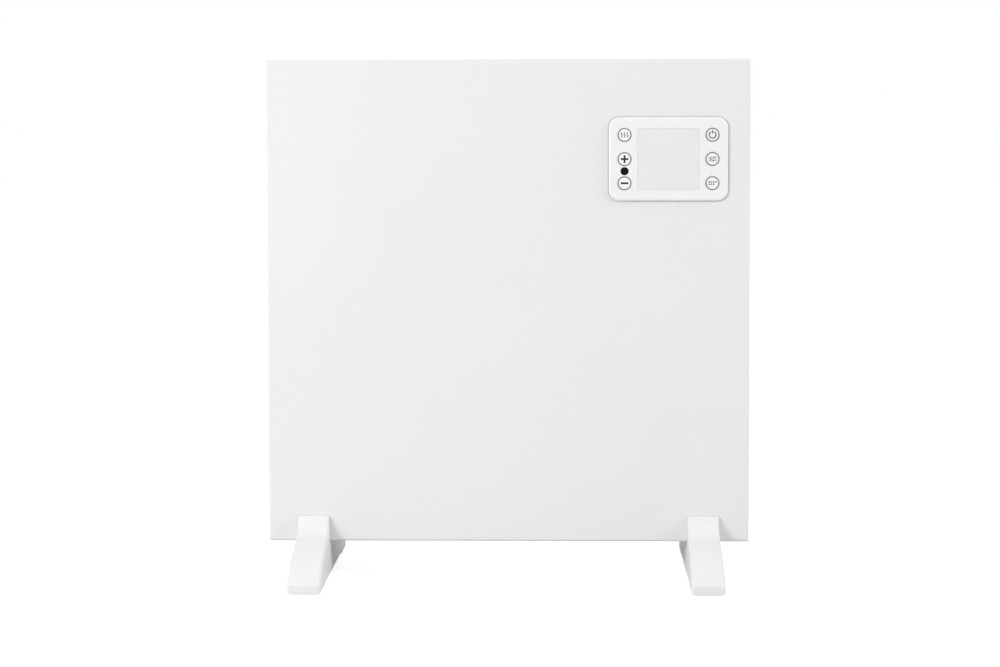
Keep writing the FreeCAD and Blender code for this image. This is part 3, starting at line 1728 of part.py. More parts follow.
def room_sensor():
    """The room sensor upright in a small clip on the casing floor, clear of the element."""
    x = gland_x - S.sensor_shift
    y = back_inside - S.sensor_setback
    size = S.clip_size
    levels = (floor_inside, floor_inside + S.clip_height)
    block = box("clip_solid", around(x, size), around(y, size), levels)
    bead_low = floor_inside + S.sensor_lift
    bead_ends = (bead_low, bead_low + S.sensor_length)
    hole = rod("clip_bore", "z", S.sensor_diameter + S.thread_clearance, bead_ends, x=x, y=y)
    subpart(cut("sensor_clip", block, hole))
    subpart(rod("room_sensor", "z", S.sensor_diameter, bead_ends, x=x, y=y))
    return x, y, bead_ends[1]


# Wiring held inside the casing


def route_wire(points, bend):
    """A path of straight runs joined by tangent arcs."""
    corners = [Vector(*(as_size(size).value for size in point)) for point in points]
    edges = []
    start = corners[0]
    for before, corner, after in zip(corners, corners[1:], corners[2:]):
        into = (corner - before).normalize()
        out = (after - corner).normalize()
        turn = math.acos(max(-1.0, min(1.0, into.dot(out))))
        setback = bend * math.tan(turn / 2)
        arc_start = corner - into * setback
        arc_end = corner + out * setback
        inward = (out - into).normalize()
        centre = corner + inward * (bend / math.cos(turn / 2))
        edges.append(Part.LineSegment(start, arc_start).toShape())
        edges.append(Part.Arc(arc_start, centre - inward * bend, arc_end).toShape())
        start = arc_end
    edges.append(Part.LineSegment(start, corners[-1]).toShape())
    return Part.Wire(edges)


def swept(name, path, section):
    """A section carried along a path; its volume must be its area times the path's length."""
    shape = path.makePipeShell([section], True, True)
    expected = Part.Face(section).Area * path.Length
    if abs(shape.Volume / expected - 1) > 0.01:
        raise RuntimeError("the run of %s is twisted" % name)
    piece = doc.addObject("Part::Feature", name)
    piece.Shape = shape
    piece.Placement = FreeCAD.Placement()
    return piece


def wire(name, points):
    path = route_wire(points, S.wire_bend.value)
    start = path.Edges[0].valueAt(path.Edges[0].FirstParameter)
    heading = path.Edges[0].tangentAt(path.Edges[0].FirstParameter)
    ring = Part.Wire(Part.Circle(start, heading, S.wire_diameter.value / 2).toShape())
    return swept(name, path, ring)


def wiring(earth, sensor):
    """The single wires and the flat ribbon between the boards."""
    blade = switch_blade_end
    entry = terminal_low
    low_run = entry - S.lead_dip
    lower, upper = around(service_z, S.switch_blade_spacing)
    x0, x1, x2, x3, x4 = (terminal_x(number) for number in range(TERMINALS))
    near_y = blade - S.lead_reach
    far_y = near_y - S.lead_spacing
    live = wire(
        "switch_lead_live",
        [
            (x0, blade, upper),
            (x0, near_y, upper),
            (x0, near_y, low_run),
            (x0, wire_y, low_run),
            (x0, wire_y, entry),
        ],
    )
    neutral = wire(
        "switch_lead_neutral",
        [
            (x0, blade, lower),
            (x0, far_y, lower),
            (x1, far_y, lower),
            (x1, far_y, low_run),
            (x1, wire_y, low_run),
            (x1, wire_y, entry),
        ],
    )
    subpart(group("switch_leads", [live, neutral]))
    offset = 0.75 * S.wire_diameter
    riser_out = partition_x + S.partition_thickness + S.riser_gap
    riser_in = riser_out + S.lead_spacing
    neutral_run = entry - S.element_lead_dip
    live_run = neutral_run - S.lead_spacing
    element_lead_live = wire(
        "element_lead_live",
        [
            (x3, wire_y, entry),
            (x3, wire_y, live_run),
            (riser_out, wire_y, live_run),
            (riser_out, wire_y, grommet_z - offset),
            (wire_drop, wire_y, grommet_z - offset),
            (wire_drop, wire_y, cutout_z),
            (cutout_blade_end, wire_y, cutout_z),
        ],
    )
    ledge = element_z + S.reflector_height / 2 + S.wire_diameter / 2 + S.thread_clearance
    far_pin = fin_left - S.rod_overhang - S.pin_length / 2
    pin_top = element_z + S.pin_diameter / 2
    down = wire_drop - S.ledge_entry
    element_lead_neutral = wire(
        "element_lead_neutral",
        [
            (x2, wire_y, entry),
            (x2, wire_y, neutral_run),
            (riser_in, wire_y, neutral_run),
            (riser_in, wire_y, grommet_z + offset),
            (down, wire_y, grommet_z + offset),
            (down, wire_y, ledge),
            (far_pin, wire_y, ledge),
            (far_pin, 0, ledge),
            (far_pin, 0, pin_top),
        ],
    )
    pin_end = fin_right + S.rod_overhang + S.pin_length
    cutout_link = wire(
        "cutout_link",
        [
            (cutout_blade_end, 0, cutout_z),
            (wire_drop, 0, cutout_z),
            (wire_drop, 0, element_z),
            (pin_end, 0, element_z),
        ],
    )
    earth_x, earth_z = earth
    earth_y = back_inside - S.earth_base - S.nut_thickness / 2
    earth_turn = earth_x - 4 * S.lead_spacing
    earth_lead = wire(
        "earth_lead",
        [
            (x4, wire_y, entry),
            (x4, wire_y, earth_z),
            (earth_turn, wire_y, earth_z),
            (earth_turn, earth_y, earth_z),
            (earth_x - S.case_screw, earth_y, earth_z),
        ],
    )
    sensor_x, sensor_y, sensor_top = sensor
    sensor_run = front_inside + S.sensor_lead_setback
    plug_y = (wire_y + S.plug_setback + power_front) / 2
    sensor_lead = wire(
        "sensor_lead",
        [
            (sensor_x, sensor_y, sensor_top),
            (sensor_x, sensor_y, sensor_top + S.lead_dip),
            (sensor_x, sensor_run, sensor_top + S.lead_dip),
            (sensor_x, sensor_run, low_run),
            (sensor_plug_x, sensor_run, low_run),
            (sensor_plug_x, plug_y, low_run),
            (sensor_plug_x, plug_y, entry),
        ],
    )
    ribbon_y = board_back + S.control_plug_depth / 2
    ribbon_top = control_z - S.control_plug_drop
    ribbon_end = power_high - S.ribbon_plug_inset
    turn_z = (ribbon_top + ribbon_end) / 2
    plug_in = (wire_y - S.plug_setback + power_front) / 2
    path = route_wire(
        [
            (control_x, ribbon_y, ribbon_top),
            (control_x, ribbon_y, turn_z),
            (control_x, plug_in, turn_z),
            (control_x, plug_in, ribbon_end),
        ],
        S.ribbon_bend.value,
    )
    half_wide = S.ribbon_width.value / 2
    half_thin = S.ribbon_thickness.value / 2
    x, y, z = control_x.value, ribbon_y.value, ribbon_top.value
    corners = [
        Vector(x - half_wide, y - half_thin, z),
        Vector(x + half_wide, y - half_thin, z),
        Vector(x + half_wide, y + half_thin, z),
        Vector(x - half_wide, y + half_thin, z),
    ]
    section = Part.makePolygon(corners + corners[:1])
    ribbon = swept("signal_ribbon", path, section)
    for run in (element_lead_live, element_lead_neutral, cutout_link, earth_lead, sensor_lead, ribbon):
        subpart(run)


# Building and writing

front_panel()
rear_cover()
case_posts()
foot("foot_left", -1)
foot("foot_right", 1)
foot_soles("foot_soles_left", -1)
foot_soles("foot_soles_right", 1)
equal_nuts = foot_fasteners()
control_bezel()
display()
eye()
for button_name, button_column, button_row in button_places():
    button(button_name, button_column, button_row)
control_board()
control_housing()
element()
element_mounting()
thermal_cutout()
partition()
back_screws()
power_board()
power_components()
mains_switch()
cord_gland()
earth_at = earth_post()
earth_nut_seat = back_inside - S.earth_base - S.nut_thickness
equal_nuts.append(nut("earth_nut", "y", earth_nut_seat, x=earth_at[0], z=earth_at[1]))
subpart(group("hex_nuts", equal_nuts))
sensor_at = room_sensor()
doc.recompute()
wiring(earth_at, sensor_at)
doc.recompute()

for item in doc.Objects:
    if "Invalid" in item.State or "Error" in item.State:
        raise RuntimeError("%s did not build: %s" % (item.Name, item.State))
for piece in SUBPARTS:
    if piece.Shape.isNull() or not piece.Shape.isValid():
        raise RuntimeError("%s has no valid shape" % piece.Label)

os.makedirs("parts", exist_ok=True)
for piece in SUBPARTS:
    piece.Shape.exportStep("parts/%s.step" % piece.Label)
print("%d sub-parts written" % len(SUBPARTS))
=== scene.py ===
"""Looks of the convector heater: finishes, printed signs, floor, light and camera."""

import json
import math

import bmesh
import bpy
from mathutils import Matrix, Vector


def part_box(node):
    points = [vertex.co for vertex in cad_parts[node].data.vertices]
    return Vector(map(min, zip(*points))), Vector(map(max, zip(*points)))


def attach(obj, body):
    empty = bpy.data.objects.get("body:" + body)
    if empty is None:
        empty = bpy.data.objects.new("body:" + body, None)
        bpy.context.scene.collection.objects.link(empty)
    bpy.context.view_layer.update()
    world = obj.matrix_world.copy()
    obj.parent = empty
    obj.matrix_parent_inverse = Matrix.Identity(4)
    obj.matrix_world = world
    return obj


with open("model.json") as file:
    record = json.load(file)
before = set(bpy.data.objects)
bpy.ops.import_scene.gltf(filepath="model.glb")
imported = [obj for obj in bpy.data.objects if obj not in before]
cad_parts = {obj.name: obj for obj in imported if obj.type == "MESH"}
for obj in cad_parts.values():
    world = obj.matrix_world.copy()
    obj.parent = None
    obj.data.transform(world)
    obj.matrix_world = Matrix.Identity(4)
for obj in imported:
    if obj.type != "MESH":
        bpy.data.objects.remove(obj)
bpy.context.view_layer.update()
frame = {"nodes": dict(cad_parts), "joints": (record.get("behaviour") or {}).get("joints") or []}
nodes = frame["nodes"]
scene = bpy.context.scene
MM = 0.001

BUTTONS = (
    "button_mode",
    "button_plus",
    "button_minus",
    "button_power",
    "button_set",
    "button_week",
)


# Camera at the photograph's place: metres and degrees, with the lens and sensor in millimetres

CAMERA_PLACE = (0.0512, -2.0165, 0.3754)
CAMERA_PAN = 1.654
CAMERA_DIP = 3.763
CAMERA_ROLL = -0.143
LENS = 86.86
LENS_SHIFT = -0.05
SENSOR_WIDTH = 36.0
CLIP_NEAR = 0.05
CLIP_FAR = 60.0


def add_camera():
    data = bpy.data.cameras.new("photo_camera")
    data.sensor_width = SENSOR_WIDTH
    data.lens = LENS
    data.shift_y = LENS_SHIFT
    data.clip_start = CLIP_NEAR
    data.clip_end = CLIP_FAR
    camera = bpy.data.objects.new("photo_camera", data)
    scene.collection.objects.link(camera)
    pan = Matrix.Rotation(math.radians(CAMERA_PAN), 4, "Z")
    pitch = Matrix.Rotation(math.radians(90.0 - CAMERA_DIP), 4, "X")
    roll = Matrix.Rotation(math.radians(CAMERA_ROLL), 4, "Z")
    camera.matrix_world = Matrix.Translation(CAMERA_PLACE) @ pan @ pitch @ roll
    scene.camera = camera


# Finishes: sizes and depths of texture in millimetres, heights in metres, linear colours

EVEN = (1, 1, 1)
CLOUD_LOW = 0.3
CLOUD_HIGH = 0.7
GLOSS_LOW = 0.25
GLOSS_HIGH = 0.75

# Places of the colour sockets on a mix node, whose sockets share their names with other kinds
MIX_FIRST = 6
MIX_SECOND = 7
MIX_RESULT = 2


def scaled(colour, factor):
    return tuple(channel * factor for channel in colour)


class Finish:
    """A procedural material under construction; its textures lie in the frame and ride with the body."""

    def __init__(self, name):
        self.material = bpy.data.materials.new(name)
        self.material.use_nodes = True
        self.tree = self.material.node_tree
        self.shader = self.tree.nodes["Principled BSDF"]
        self.place = self.tree.nodes.new("ShaderNodeTexCoord").outputs["Object"]

    def link(self, output, target):
        self.tree.links.new(output, target)

    def set(self, **values):
        """Constants on the shader's own sockets; an underscore stands for a space in a name."""
        for name, value in values.items():
            self.shader.inputs[name.replace("_", " ")].default_value = value

    def noise(self, size_mm, detail=3.0, rough=0.5, stretch=EVEN):
        """Cloudy values about 0.5, features about size_mm across; a stretch under 1 draws them out."""
        mapping = self.tree.nodes.new("ShaderNodeMapping")
        mapping.inputs["Scale"].default_value = stretch
        self.link(self.place, mapping.inputs["Vector"])
        texture = self.tree.nodes.new("ShaderNodeTexNoise")
        texture.inputs["Scale"].default_value = 1.0 / (size_mm * MM)
        texture.inputs["Detail"].default_value = detail
        texture.inputs["Roughness"].default_value = rough
        self.link(mapping.outputs["Vector"], texture.inputs["Vector"])
        return texture.outputs["Fac"]

    def cells(self, size_mm, output="Distance"):
        """Irregular cells about size_mm across: the distance from their middles, or a colour each."""
        texture = self.tree.nodes.new("ShaderNodeTexVoronoi")
        texture.inputs["Scale"].default_value = 1.0 / (size_mm * MM)
        self.link(self.place, texture.inputs["Vector"])
        return texture.outputs[output]

    def along(self, axis):
        """The place along one axis of the frame, in metres; Z is the height above the floor."""
        split = self.tree.nodes.new("ShaderNodeSeparateXYZ")
        self.link(self.place, split.inputs["Vector"])
        return split.outputs[axis]

    def span(self, value, low, high, out_low=0.0, out_high=1.0):
        """A value from low to high brought to the range from out_low to out_high, and kept in it."""
        node = self.tree.nodes.new("ShaderNodeMapRange")
        node.inputs["From Min"].default_value = low
        node.inputs["From Max"].default_value = high
        node.inputs["To Min"].default_value = out_low
        node.inputs["To Max"].default_value = out_high
        self.link(value, node.inputs["Value"])
        return node.outputs["Result"]

    def times(self, first, second):
        node = self.tree.nodes.new("ShaderNodeMath")
        node.operation = "MULTIPLY"
        self.link(first, node.inputs[0])
        self.link(second, node.inputs[1])
        return node.outputs[0]

    def blend(self, factor, first, second):
        """A colour between two; each is a colour value or another colour output."""
        node = self.tree.nodes.new("ShaderNodeMix")
        node.data_type = "RGBA"
        self.link(factor, node.inputs["Factor"])
        for socket, colour in ((MIX_FIRST, first), (MIX_SECOND, second)):
            if isinstance(colour, tuple):
                node.inputs[socket].default_value = (*colour, 1.0)
            else:
                self.link(colour, node.inputs[socket])
        return node.outputs[MIX_RESULT]

    def clouds(self, size_mm, detail=3.0, rough=0.5, stretch=EVEN, low=CLOUD_LOW, high=CLOUD_HIGH):
        """Noise with more contrast: 0 where it is under low and 1 where it is over high."""
        return self.span(self.noise(size_mm, detail, rough, stretch), low, high)

    def mottle(self, colour, shade, size_mm, detail=3.0, rough=0.5, stretch=EVEN, low=CLOUD_LOW):
        """A colour that drifts, in clouds about size_mm across, to that colour times shade."""
        drift = self.clouds(size_mm, detail, rough, stretch, low)
        return self.blend(drift, colour, scaled(colour, shade))

    def colour(self, output):
        self.link(output, self.shader.inputs["Base Color"])

    def gloss(self, size_mm, low, high, detail=4.0, rough=0.5, stretch=EVEN):
        """Roughness that wanders from low to high in patches about size_mm across."""
        patches = self.noise(size_mm, detail, rough, stretch)
        wander = self.span(patches, GLOSS_LOW, GLOSS_HIGH, low, high)
        self.link(wander, self.shader.inputs["Roughness"])

    def bump(self, value, depth_mm):
        """A relief depth_mm deep, laid over the reliefs made before it."""
        node = self.tree.nodes.new("ShaderNodeBump")
        node.inputs["Strength"].default_value = 1.0
        node.inputs["Distance"].default_value = depth_mm * MM
        self.link(value, node.inputs["Height"])
        below = self.shader.inputs["Normal"].links
        if below:
            self.link(below[0].from_socket, node.inputs["Normal"])
        self.link(node.outputs["Normal"], self.shader.inputs["Normal"])

    def grain(self, size_mm, depth_mm, detail=2.0, rough=0.5, stretch=EVEN):
        """A relief of bumps about size_mm across."""
        self.bump(self.noise(size_mm, detail, rough, stretch), depth_mm)


def coated_steel():
    """Satin white powder coat: soft clouds, fine orange peel, a trace of dust low down."""
    white = (0.770, 0.771, 0.772)
    dusty = (0.62, 0.61, 0.58)
    dust_full = 0.030
    dust_end = 0.075
    dust_cover = 0.12
    finish = Finish("coated_steel")
    body = finish.mottle(white, 0.985, 140, detail=2.0)
    dust = finish.times(
        finish.span(finish.along("Z"), dust_full, dust_end, 1.0, 0.0),
        finish.clouds(18, detail=5.0, rough=0.6, low=0.35, high=0.75),
    )
    finish.colour(finish.blend(finish.span(dust, 0.0, 1.0, 0.0, dust_cover), body, dusty))
    finish.gloss(9, 0.40, 0.50)
    finish.grain(1.6, 0.012)
    finish.grain(0.35, 0.004)
    finish.set(Specular_IOR_Level=0.42)
    return finish.material


def moulded(name, colour, grain_mm=0.45, depth_mm=0.008, gloss=(0.36, 0.46), scuff=0.05):
    """A moulded plastic with a fine spark grain and faint upright handling marks."""
    marks_start = 0.62
    marks_full = 0.80
    finish = Finish(name)
    body = finish.mottle(colour, 0.97, 30)
    streaks = finish.noise(2.2, detail=6.0, rough=0.7, stretch=(1, 1, 0.25))
    marks = finish.span(streaks, marks_start, marks_full, 0.0, scuff)
    finish.colour(finish.blend(marks, body, scaled(colour, 0.80)))
    finish.gloss(4, *gloss)
    finish.grain(grain_mm, depth_mm)
    return finish.material


def foot_plastic():
    """White moulded feet with a fine grain, slightly soiled where they meet the floor."""
    white = (0.777, 0.775, 0.775)
    soiled = (0.50, 0.48, 0.45)
    soil_full = 0.0008
    soil_end = 0.003
    soil_cover = 0.15
    finish = Finish("foot_plastic")
    body = finish.mottle(white, 0.975, 26)
    soil = finish.times(
        finish.span(finish.along("Z"), soil_full, soil_end, 1.0, 0.0),
        finish.clouds(5, detail=5.0, rough=0.65),
    )
    finish.colour(finish.blend(finish.span(soil, 0.0, 1.0, 0.0, soil_cover), body, soiled))
    finish.gloss(6, 0.38, 0.50)
    finish.grain(0.5, 0.010)
    return finish.material


def control_plastic():
    """Warm white moulding with a fine grain; painted shade greys its edges towards the seam with the
    front.
    """
    white = (0.832, 0.830, 0.818)
    seam_shade_start = 0.25
    seam_shade_cover = 0.85
    finish = Finish("control_plastic")
    body = finish.mottle(white, 0.97, 30)
    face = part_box("control_bezel")[0].y
    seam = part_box("front_panel")[0].y
    shade_start_y = face + seam_shade_start * (seam - face)
    # Painted shade: the bezel's sides darken towards the front panel, standing in for the shadow of a
    # groove at the seam.
    painted_shade = finish.span(finish.along("Y"), shade_start_y, seam, 0.0, seam_shade_cover)
    finish.colour(finish.blend(painted_shade, body, scaled(white, 0.55)))
    finish.gloss(4, 0.36, 0.46)
    finish.grain(0.45, 0.008)
    return finish.material


def screen():
    """The pale blank display under a clear hard coat."""
    finish = Finish("display_screen")
    finish.colour(finish.mottle((0.765, 0.767, 0.765), 0.985, 22, detail=2.0))
    finish.gloss(6, 0.30, 0.38, detail=3.0)
    finish.grain(3.0, 0.002, detail=1.0)
    finish.set(Coat_Weight=0.25, Coat_Roughness=0.12)
    return finish.material


def dark_window():
    """Smooth black plastic that hides the receiver behind it."""
    finish = Finish("dark_window")
    shade = finish.clouds(3, detail=2.0)
    finish.colour(finish.blend(shade, (0.003, 0.003, 0.0035), (0.006, 0.005, 0.0055)))
    finish.gloss(2.5, 0.12, 0.20)
    finish.grain(2.0, 0.002, detail=1.0)
    finish.set(Specular_IOR_Level=0.15)
    return finish.material


def ink(name, colour):
    """Screen-printed ink, a little uneven in cover."""
    finish = Finish(name)
    finish.colour(finish.mottle(colour, 1.25, 0.35))
    finish.gloss(0.8, 0.45, 0.60, detail=3.0)
    finish.grain(0.25, 0.004)
    return finish.material


def rubber(name, colour):
    finish = Finish(name)
    finish.colour(finish.mottle(colour, 1.25, 6, detail=5.0, rough=0.6, low=0.35))
    finish.gloss(2, 0.72, 0.88)
    finish.grain(0.5, 0.03, detail=3.0)
    return finish.material


def plated(name, colour, gloss=(0.24, 0.42), lines=EVEN, depth_mm=0.006):
    """Bare or plated metal; lines draws its marks out along an axis."""
    finish = Finish(name)
    finish.colour(finish.mottle(colour, 0.82, 7, detail=5.0, rough=0.6, stretch=lines))
    finish.gloss(1.2, *gloss, rough=0.6, stretch=lines)
    finish.grain(0.6, depth_mm, detail=3.0, rough=0.6, stretch=lines)
    finish.set(Metallic=1.0)
    return finish.material


def galvanised():
    """Zinc-coated sheet with its crystal spangle."""
    finish = Finish("galvanised")
    grey = finish.tree.nodes.new("ShaderNodeRGBToBW")
    finish.link(finish.cells(9, output="Color"), grey.inputs["Color"])
    spangle = finish.span(grey.outputs["Val"], 0.1, 0.9)
    finish.colour(finish.blend(spangle, (0.60, 0.61, 0.62), (0.42, 0.43, 0.45)))
    finish.link(finish.span(spangle, 0.0, 1.0, 0.28, 0.52), finish.shader.inputs["Roughness"])
    finish.grain(0.8, 0.005, detail=3.0)
    finish.set(Metallic=1.0)
    return finish.material


def heat_toned():
    """The steel sheath of the element, straw to blue where it runs hot."""
    straw = (0.40, 0.33, 0.24)
    blue = (0.30, 0.31, 0.36)
    finish = Finish("heat_toned_steel")
    finish.colour(finish.blend(finish.clouds(24, stretch=(1, 0.2, 0.2)), straw, blue))
    finish.gloss(1.5, 0.34, 0.50)
    finish.grain(0.5, 0.006, detail=3.0)
    finish.set(Metallic=1.0)
    return finish.material


def ceramic():
    finish = Finish("ceramic")
    finish.colour(finish.mottle((0.72, 0.68, 0.58), 0.86, 1.5, detail=5.0, rough=0.6, low=0.35))
    finish.gloss(1.2, 0.55, 0.75)
    finish.grain(0.4, 0.02, detail=3.0)
    return finish.material


def circuit_board():
    """Green solder mask over copper fills, with lighter tracks and small pads."""
    mask_dark = (0.010, 0.085, 0.035)
    mask_light = (0.014, 0.115, 0.048)
    track_green = (0.030, 0.200, 0.080)
    pad_metal = (0.55, 0.55, 0.52)
    fills_scale = 160.0
    track_width = 0.06
    pad_spacing = 5.0
    pad_radius = 0.10
    pad_edge = 0.13
    finish = Finish("circuit_board")
    upright = finish.tree.nodes.new("ShaderNodeMapping")
    upright.inputs["Rotation"].default_value = (math.radians(90), 0, 0)
    finish.link(finish.place, upright.inputs["Vector"])
    fills = finish.tree.nodes.new("ShaderNodeTexBrick")
    fills.inputs["Scale"].default_value = fills_scale
    fills.inputs["Mortar Size"].default_value = track_width
    finish.link(upright.outputs["Vector"], fills.inputs["Vector"])
    mask = finish.blend(finish.clouds(12), mask_dark, mask_light)
    tracks = finish.blend(fills.outputs["Fac"], mask, track_green)
    pads = finish.span(finish.cells(pad_spacing), pad_radius, pad_edge, 1.0, 0.0)
    finish.colour(finish.blend(pads, tracks, pad_metal))
    finish.gloss(3, 0.28, 0.42)
    finish.bump(fills.outputs["Fac"], 0.03)
    return finish.material


def fuse_glass():
    finish = Finish("fuse_glass")
    finish.colour(finish.blend(finish.clouds(4), (0.70, 0.76, 0.76), (0.60, 0.66, 0.66)))
    finish.gloss(2, 0.06, 0.16, detail=3.0)
    finish.grain(3, 0.004, detail=1.0)
    finish.set(Transmission_Weight=0.6, IOR=1.5)
    return finish.material


def sleeve(name, colour, weave_mm=None):
    """Wire insulation, smooth or with the fine weave of a glass sleeve."""
    finish = Finish(name)
    finish.colour(finish.mottle(colour, 0.85, 8, detail=4.0))
    finish.gloss(2, 0.45, 0.62)
    if weave_mm:
        finish.bump(finish.cells(weave_mm), 0.08)
    else:
        finish.grain(0.7, 0.012, detail=3.0)
    return finish.material


# Finishes on the nodes

def dress(material, *names):
    for name in names:
        mesh = nodes[name].data
        mesh.materials.clear()
        mesh.materials.append(material)


def dress_outside():
    dress(coated_steel(), "front_panel", "rear_cover")
    dress(foot_plastic(), "foot_left", "foot_right")
    dress(control_plastic(), "control_bezel")
    dress(screen(), "display_lens")
    dress(dark_window(), "eye_window")
    caps = moulded(
        "button_plastic",
        (0.865, 0.865, 0.858),
        grain_mm=0.3,
        depth_mm=0.004,
        gloss=(0.30, 0.40),
        scuff=0.03,
    )
    dress(caps, *BUTTONS)
    rocker = moulded("rocker_plastic", (0.012, 0.012, 0.013), grain_mm=0.5, gloss=(0.24, 0.36), scuff=0.25)
    dress(rocker, "switch_rocker")


def dress_plastics():
    black = moulded(
        "black_plastic",
        (0.016, 0.016, 0.017),
        grain_mm=0.6,
        depth_mm=0.02,
        gloss=(0.42, 0.56),
        scuff=0.25,
    )
    dress(black, "eye_receiver", "push_switches", "control_housing", "thermal_cutout", "power_module")
    dress(black, "switch_frame", "cord_gland", "gland_nut", "room_sensor")
    dress(moulded("screen_frame", (0.60, 0.60, 0.57)), "display_module")
    nylon = moulded("connector_nylon", (0.70, 0.68, 0.60), grain_mm=0.8, depth_mm=0.01)
    dress(nylon, "signal_connectors", "sensor_clip")
    dress(moulded("relay_case", (0.012, 0.045, 0.22), grain_mm=0.8, gloss=(0.28, 0.40)), "relay")
    yellow = moulded("capacitor_case", (0.55, 0.36, 0.04), grain_mm=1.2, depth_mm=0.02, gloss=(0.22, 0.34))
    dress(yellow, "filter_capacitor")
    dress(moulded("terminal_plastic", (0.025, 0.16, 0.05), grain_mm=0.6, depth_mm=0.01), "terminal_block")
    soles = rubber("sole_rubber", (0.085, 0.085, 0.088))
    dress(soles, "foot_soles_left", "foot_soles_right", "partition_grommet")


def dress_metals():
    dress(galvanised(), "case_posts", "element_bracket_left", "element_bracket_right", "partition_plate")
    dress(heat_toned(), "element_rod")
    zinc = plated("zinc_plate", (0.66, 0.67, 0.69))
    dress(zinc, "case_screws", "back_screws", "foot_screws", "control_screws", "board_screws", "hex_nuts")
    drawn = (0.06, 1, 1)
    fins = plated("extruded_aluminium", (0.72, 0.73, 0.74), gloss=(0.30, 0.46), lines=drawn, depth_mm=0.02)
    dress(fins, "element_fins")
    rolled = (0.1, 1, 1)
    dress(plated("bright_sheet", (0.82, 0.83, 0.84), gloss=(0.12, 0.26), lines=rolled), "heat_reflector")
    brass = plated("brass", (0.66, 0.48, 0.18), gloss=(0.22, 0.40))
    dress(brass, "board_standoffs", "switch_blades", "earth_stud")


def dress_electrics():
    dress(ceramic(), "element_bushes")
    dress(circuit_board(), "control_board", "power_board")
    dress(fuse_glass(), "mains_fuse")
    dress(sleeve("brown_wire", (0.16, 0.065, 0.025)), "switch_leads")
    dress(sleeve("earth_wire", (0.20, 0.33, 0.04)), "earth_lead")
    dress(sleeve("grey_wire", (0.30, 0.30, 0.30)), "sensor_lead", "signal_ribbon")
    woven = sleeve("glass_sleeve", (0.70, 0.67, 0.58), weave_mm=0.5)
    dress(woven, "element_lead_live", "element_lead_neutral", "cutout_link")


# Shapes of print, as points (u, v) in millimetres about the middle of a sign

STROKE_END_STEPS = 8
DISC_POINTS = 24


def arc(radius, start, end, count):
    """Points on a circle about the origin, angles in degrees."""
    steps = [math.radians(start + (end - start) * n / (count - 1)) for n in range(count)]
    return [(radius * math.cos(a), radius * math.sin(a)) for a in steps]


def disc(u, v, radius):
    last = 360 - 360 / DISC_POINTS
    return [(u + x, v + y) for x, y in arc(radius, 0, last, DISC_POINTS)]


def bar(u, v, wide, tall, corner=0.12):
    """An upright rectangle with its corners taken off."""
    w = wide / 2
    h = tall / 2
    return [
        (u - w + corner, v - h),
        (u + w - corner, v - h),
        (u + w, v - h + corner),
        (u + w, v + h - corner),
        (u + w - corner, v + h),
        (u - w + corner, v + h),
        (u - w, v + h - corner),
        (u - w, v - h + corner),
    ]


def plus_shape(reach, half):
    return [
        (reach, -half), (reach, half), (half, half), (half, reach),
        (-half, reach), (-half, half), (-reach, half), (-reach, -half),
        (-half, -half), (-half, -reach), (half, -reach), (half, -half),
    ]


def stroke(points, width):
    """A line of even width along points: its right side, its left side and its two round ends."""
    half = width / 2
    sides = []
    for n, point in enumerate(points):
        before = Vector(points[max(n - 1, 0)])
        after = Vector(points[min(n + 1, len(points) - 1)])
        along = (after - before).normalized()
        across = Vector((-along.y, along.x)) * half
        sides.append((Vector(point) - across, Vector(point) + across, along * half))
    right = [side[0] for side in sides]
    left = [side[1] for side in sides]
    angles = [math.pi * n / STROKE_END_STEPS for n in range(1, STROKE_END_STEPS)]
    ends = []
    for start, end, reach in (
        (right[-1], left[-1], sides[-1][2]),
        (left[0], right[0], -sides[0][2]),
    ):
        middle = (start + end) / 2
        ends.append([middle + (start - middle) * math.cos(a) + reach * math.sin(a) for a in angles])
    return right, left, ends


# Printed signs, and rings of painted shade round the caps, in millimetres

PRINT_PROUD = 0.05
PRINT_DEPTH = 0.07
RING_WIDTH = 0.73
RING_SKIN = 0.04
RING_ROOT = 0.02
RING_BEVEL = 0.03
RING_EDGE_STEPS = 6
RING_TURNS = 96
ROCKER_SIGN_OFFSET = 3.9

# Sizes of the solids under the print: a cap's rounded edge and the rocker's valley above its pivot
CAP_EDGE = 0.4
ROCKER_RISE = 2.6


def add_piece(name, build, body, material, smooth=False):
    """Makes a piece from a bmesh and lets it ride on a body."""
    bmesh.ops.recalc_face_normals(build, faces=build.faces)
    mesh = bpy.data.meshes.new(name)
    build.to_mesh(mesh)
    build.free()
    for polygon in mesh.polygons:
        polygon.use_smooth = smooth
    mesh.materials.append(material)
    piece = bpy.data.objects.new(name, mesh)
    scene.collection.objects.link(piece)
    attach(piece, body)


def print_shapes(strokes, shapes, place):
    """A thin print of strokes and filled outlines, laid out by place(u, v, depth)."""
    build = bmesh.new()
    faces = []

    def points(flat):
        return [build.verts.new(place(u, v, 0)) for u, v in flat]

    for right, left, ends in strokes:
        low = points(right)
        high = points(left)
        for n in range(len(low) - 1):
            faces.append(build.faces.new((low[n], low[n + 1], high[n + 1], high[n])))
        faces.append(build.faces.new((low[-1], *points(ends[0]), high[-1])))
        faces.append(build.faces.new((high[0], *points(ends[1]), low[0])))
    for shape in shapes:
        faces.append(build.faces.new(points(shape)))
    grown = bmesh.ops.extrude_face_region(build, geom=faces)
    inward = place(0, 0, PRINT_DEPTH) - place(0, 0, 0)
    moved = [item for item in grown["geom"] if isinstance(item, bmesh.types.BMVert)]
    bmesh.ops.translate(build, vec=inward, verts=moved)
    return build


def add_button_sign(button, strokes, shapes, material):
    low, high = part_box(button)
    centre = (low + high) / 2

    def place(u, v, depth):
        return Vector((centre.x + u * MM, low.y + (depth - PRINT_PROUD) * MM, centre.z + v * MM))

    build = print_shapes(strokes, shapes, place)
    add_piece(button.replace("button", "sign"), build, button, material)


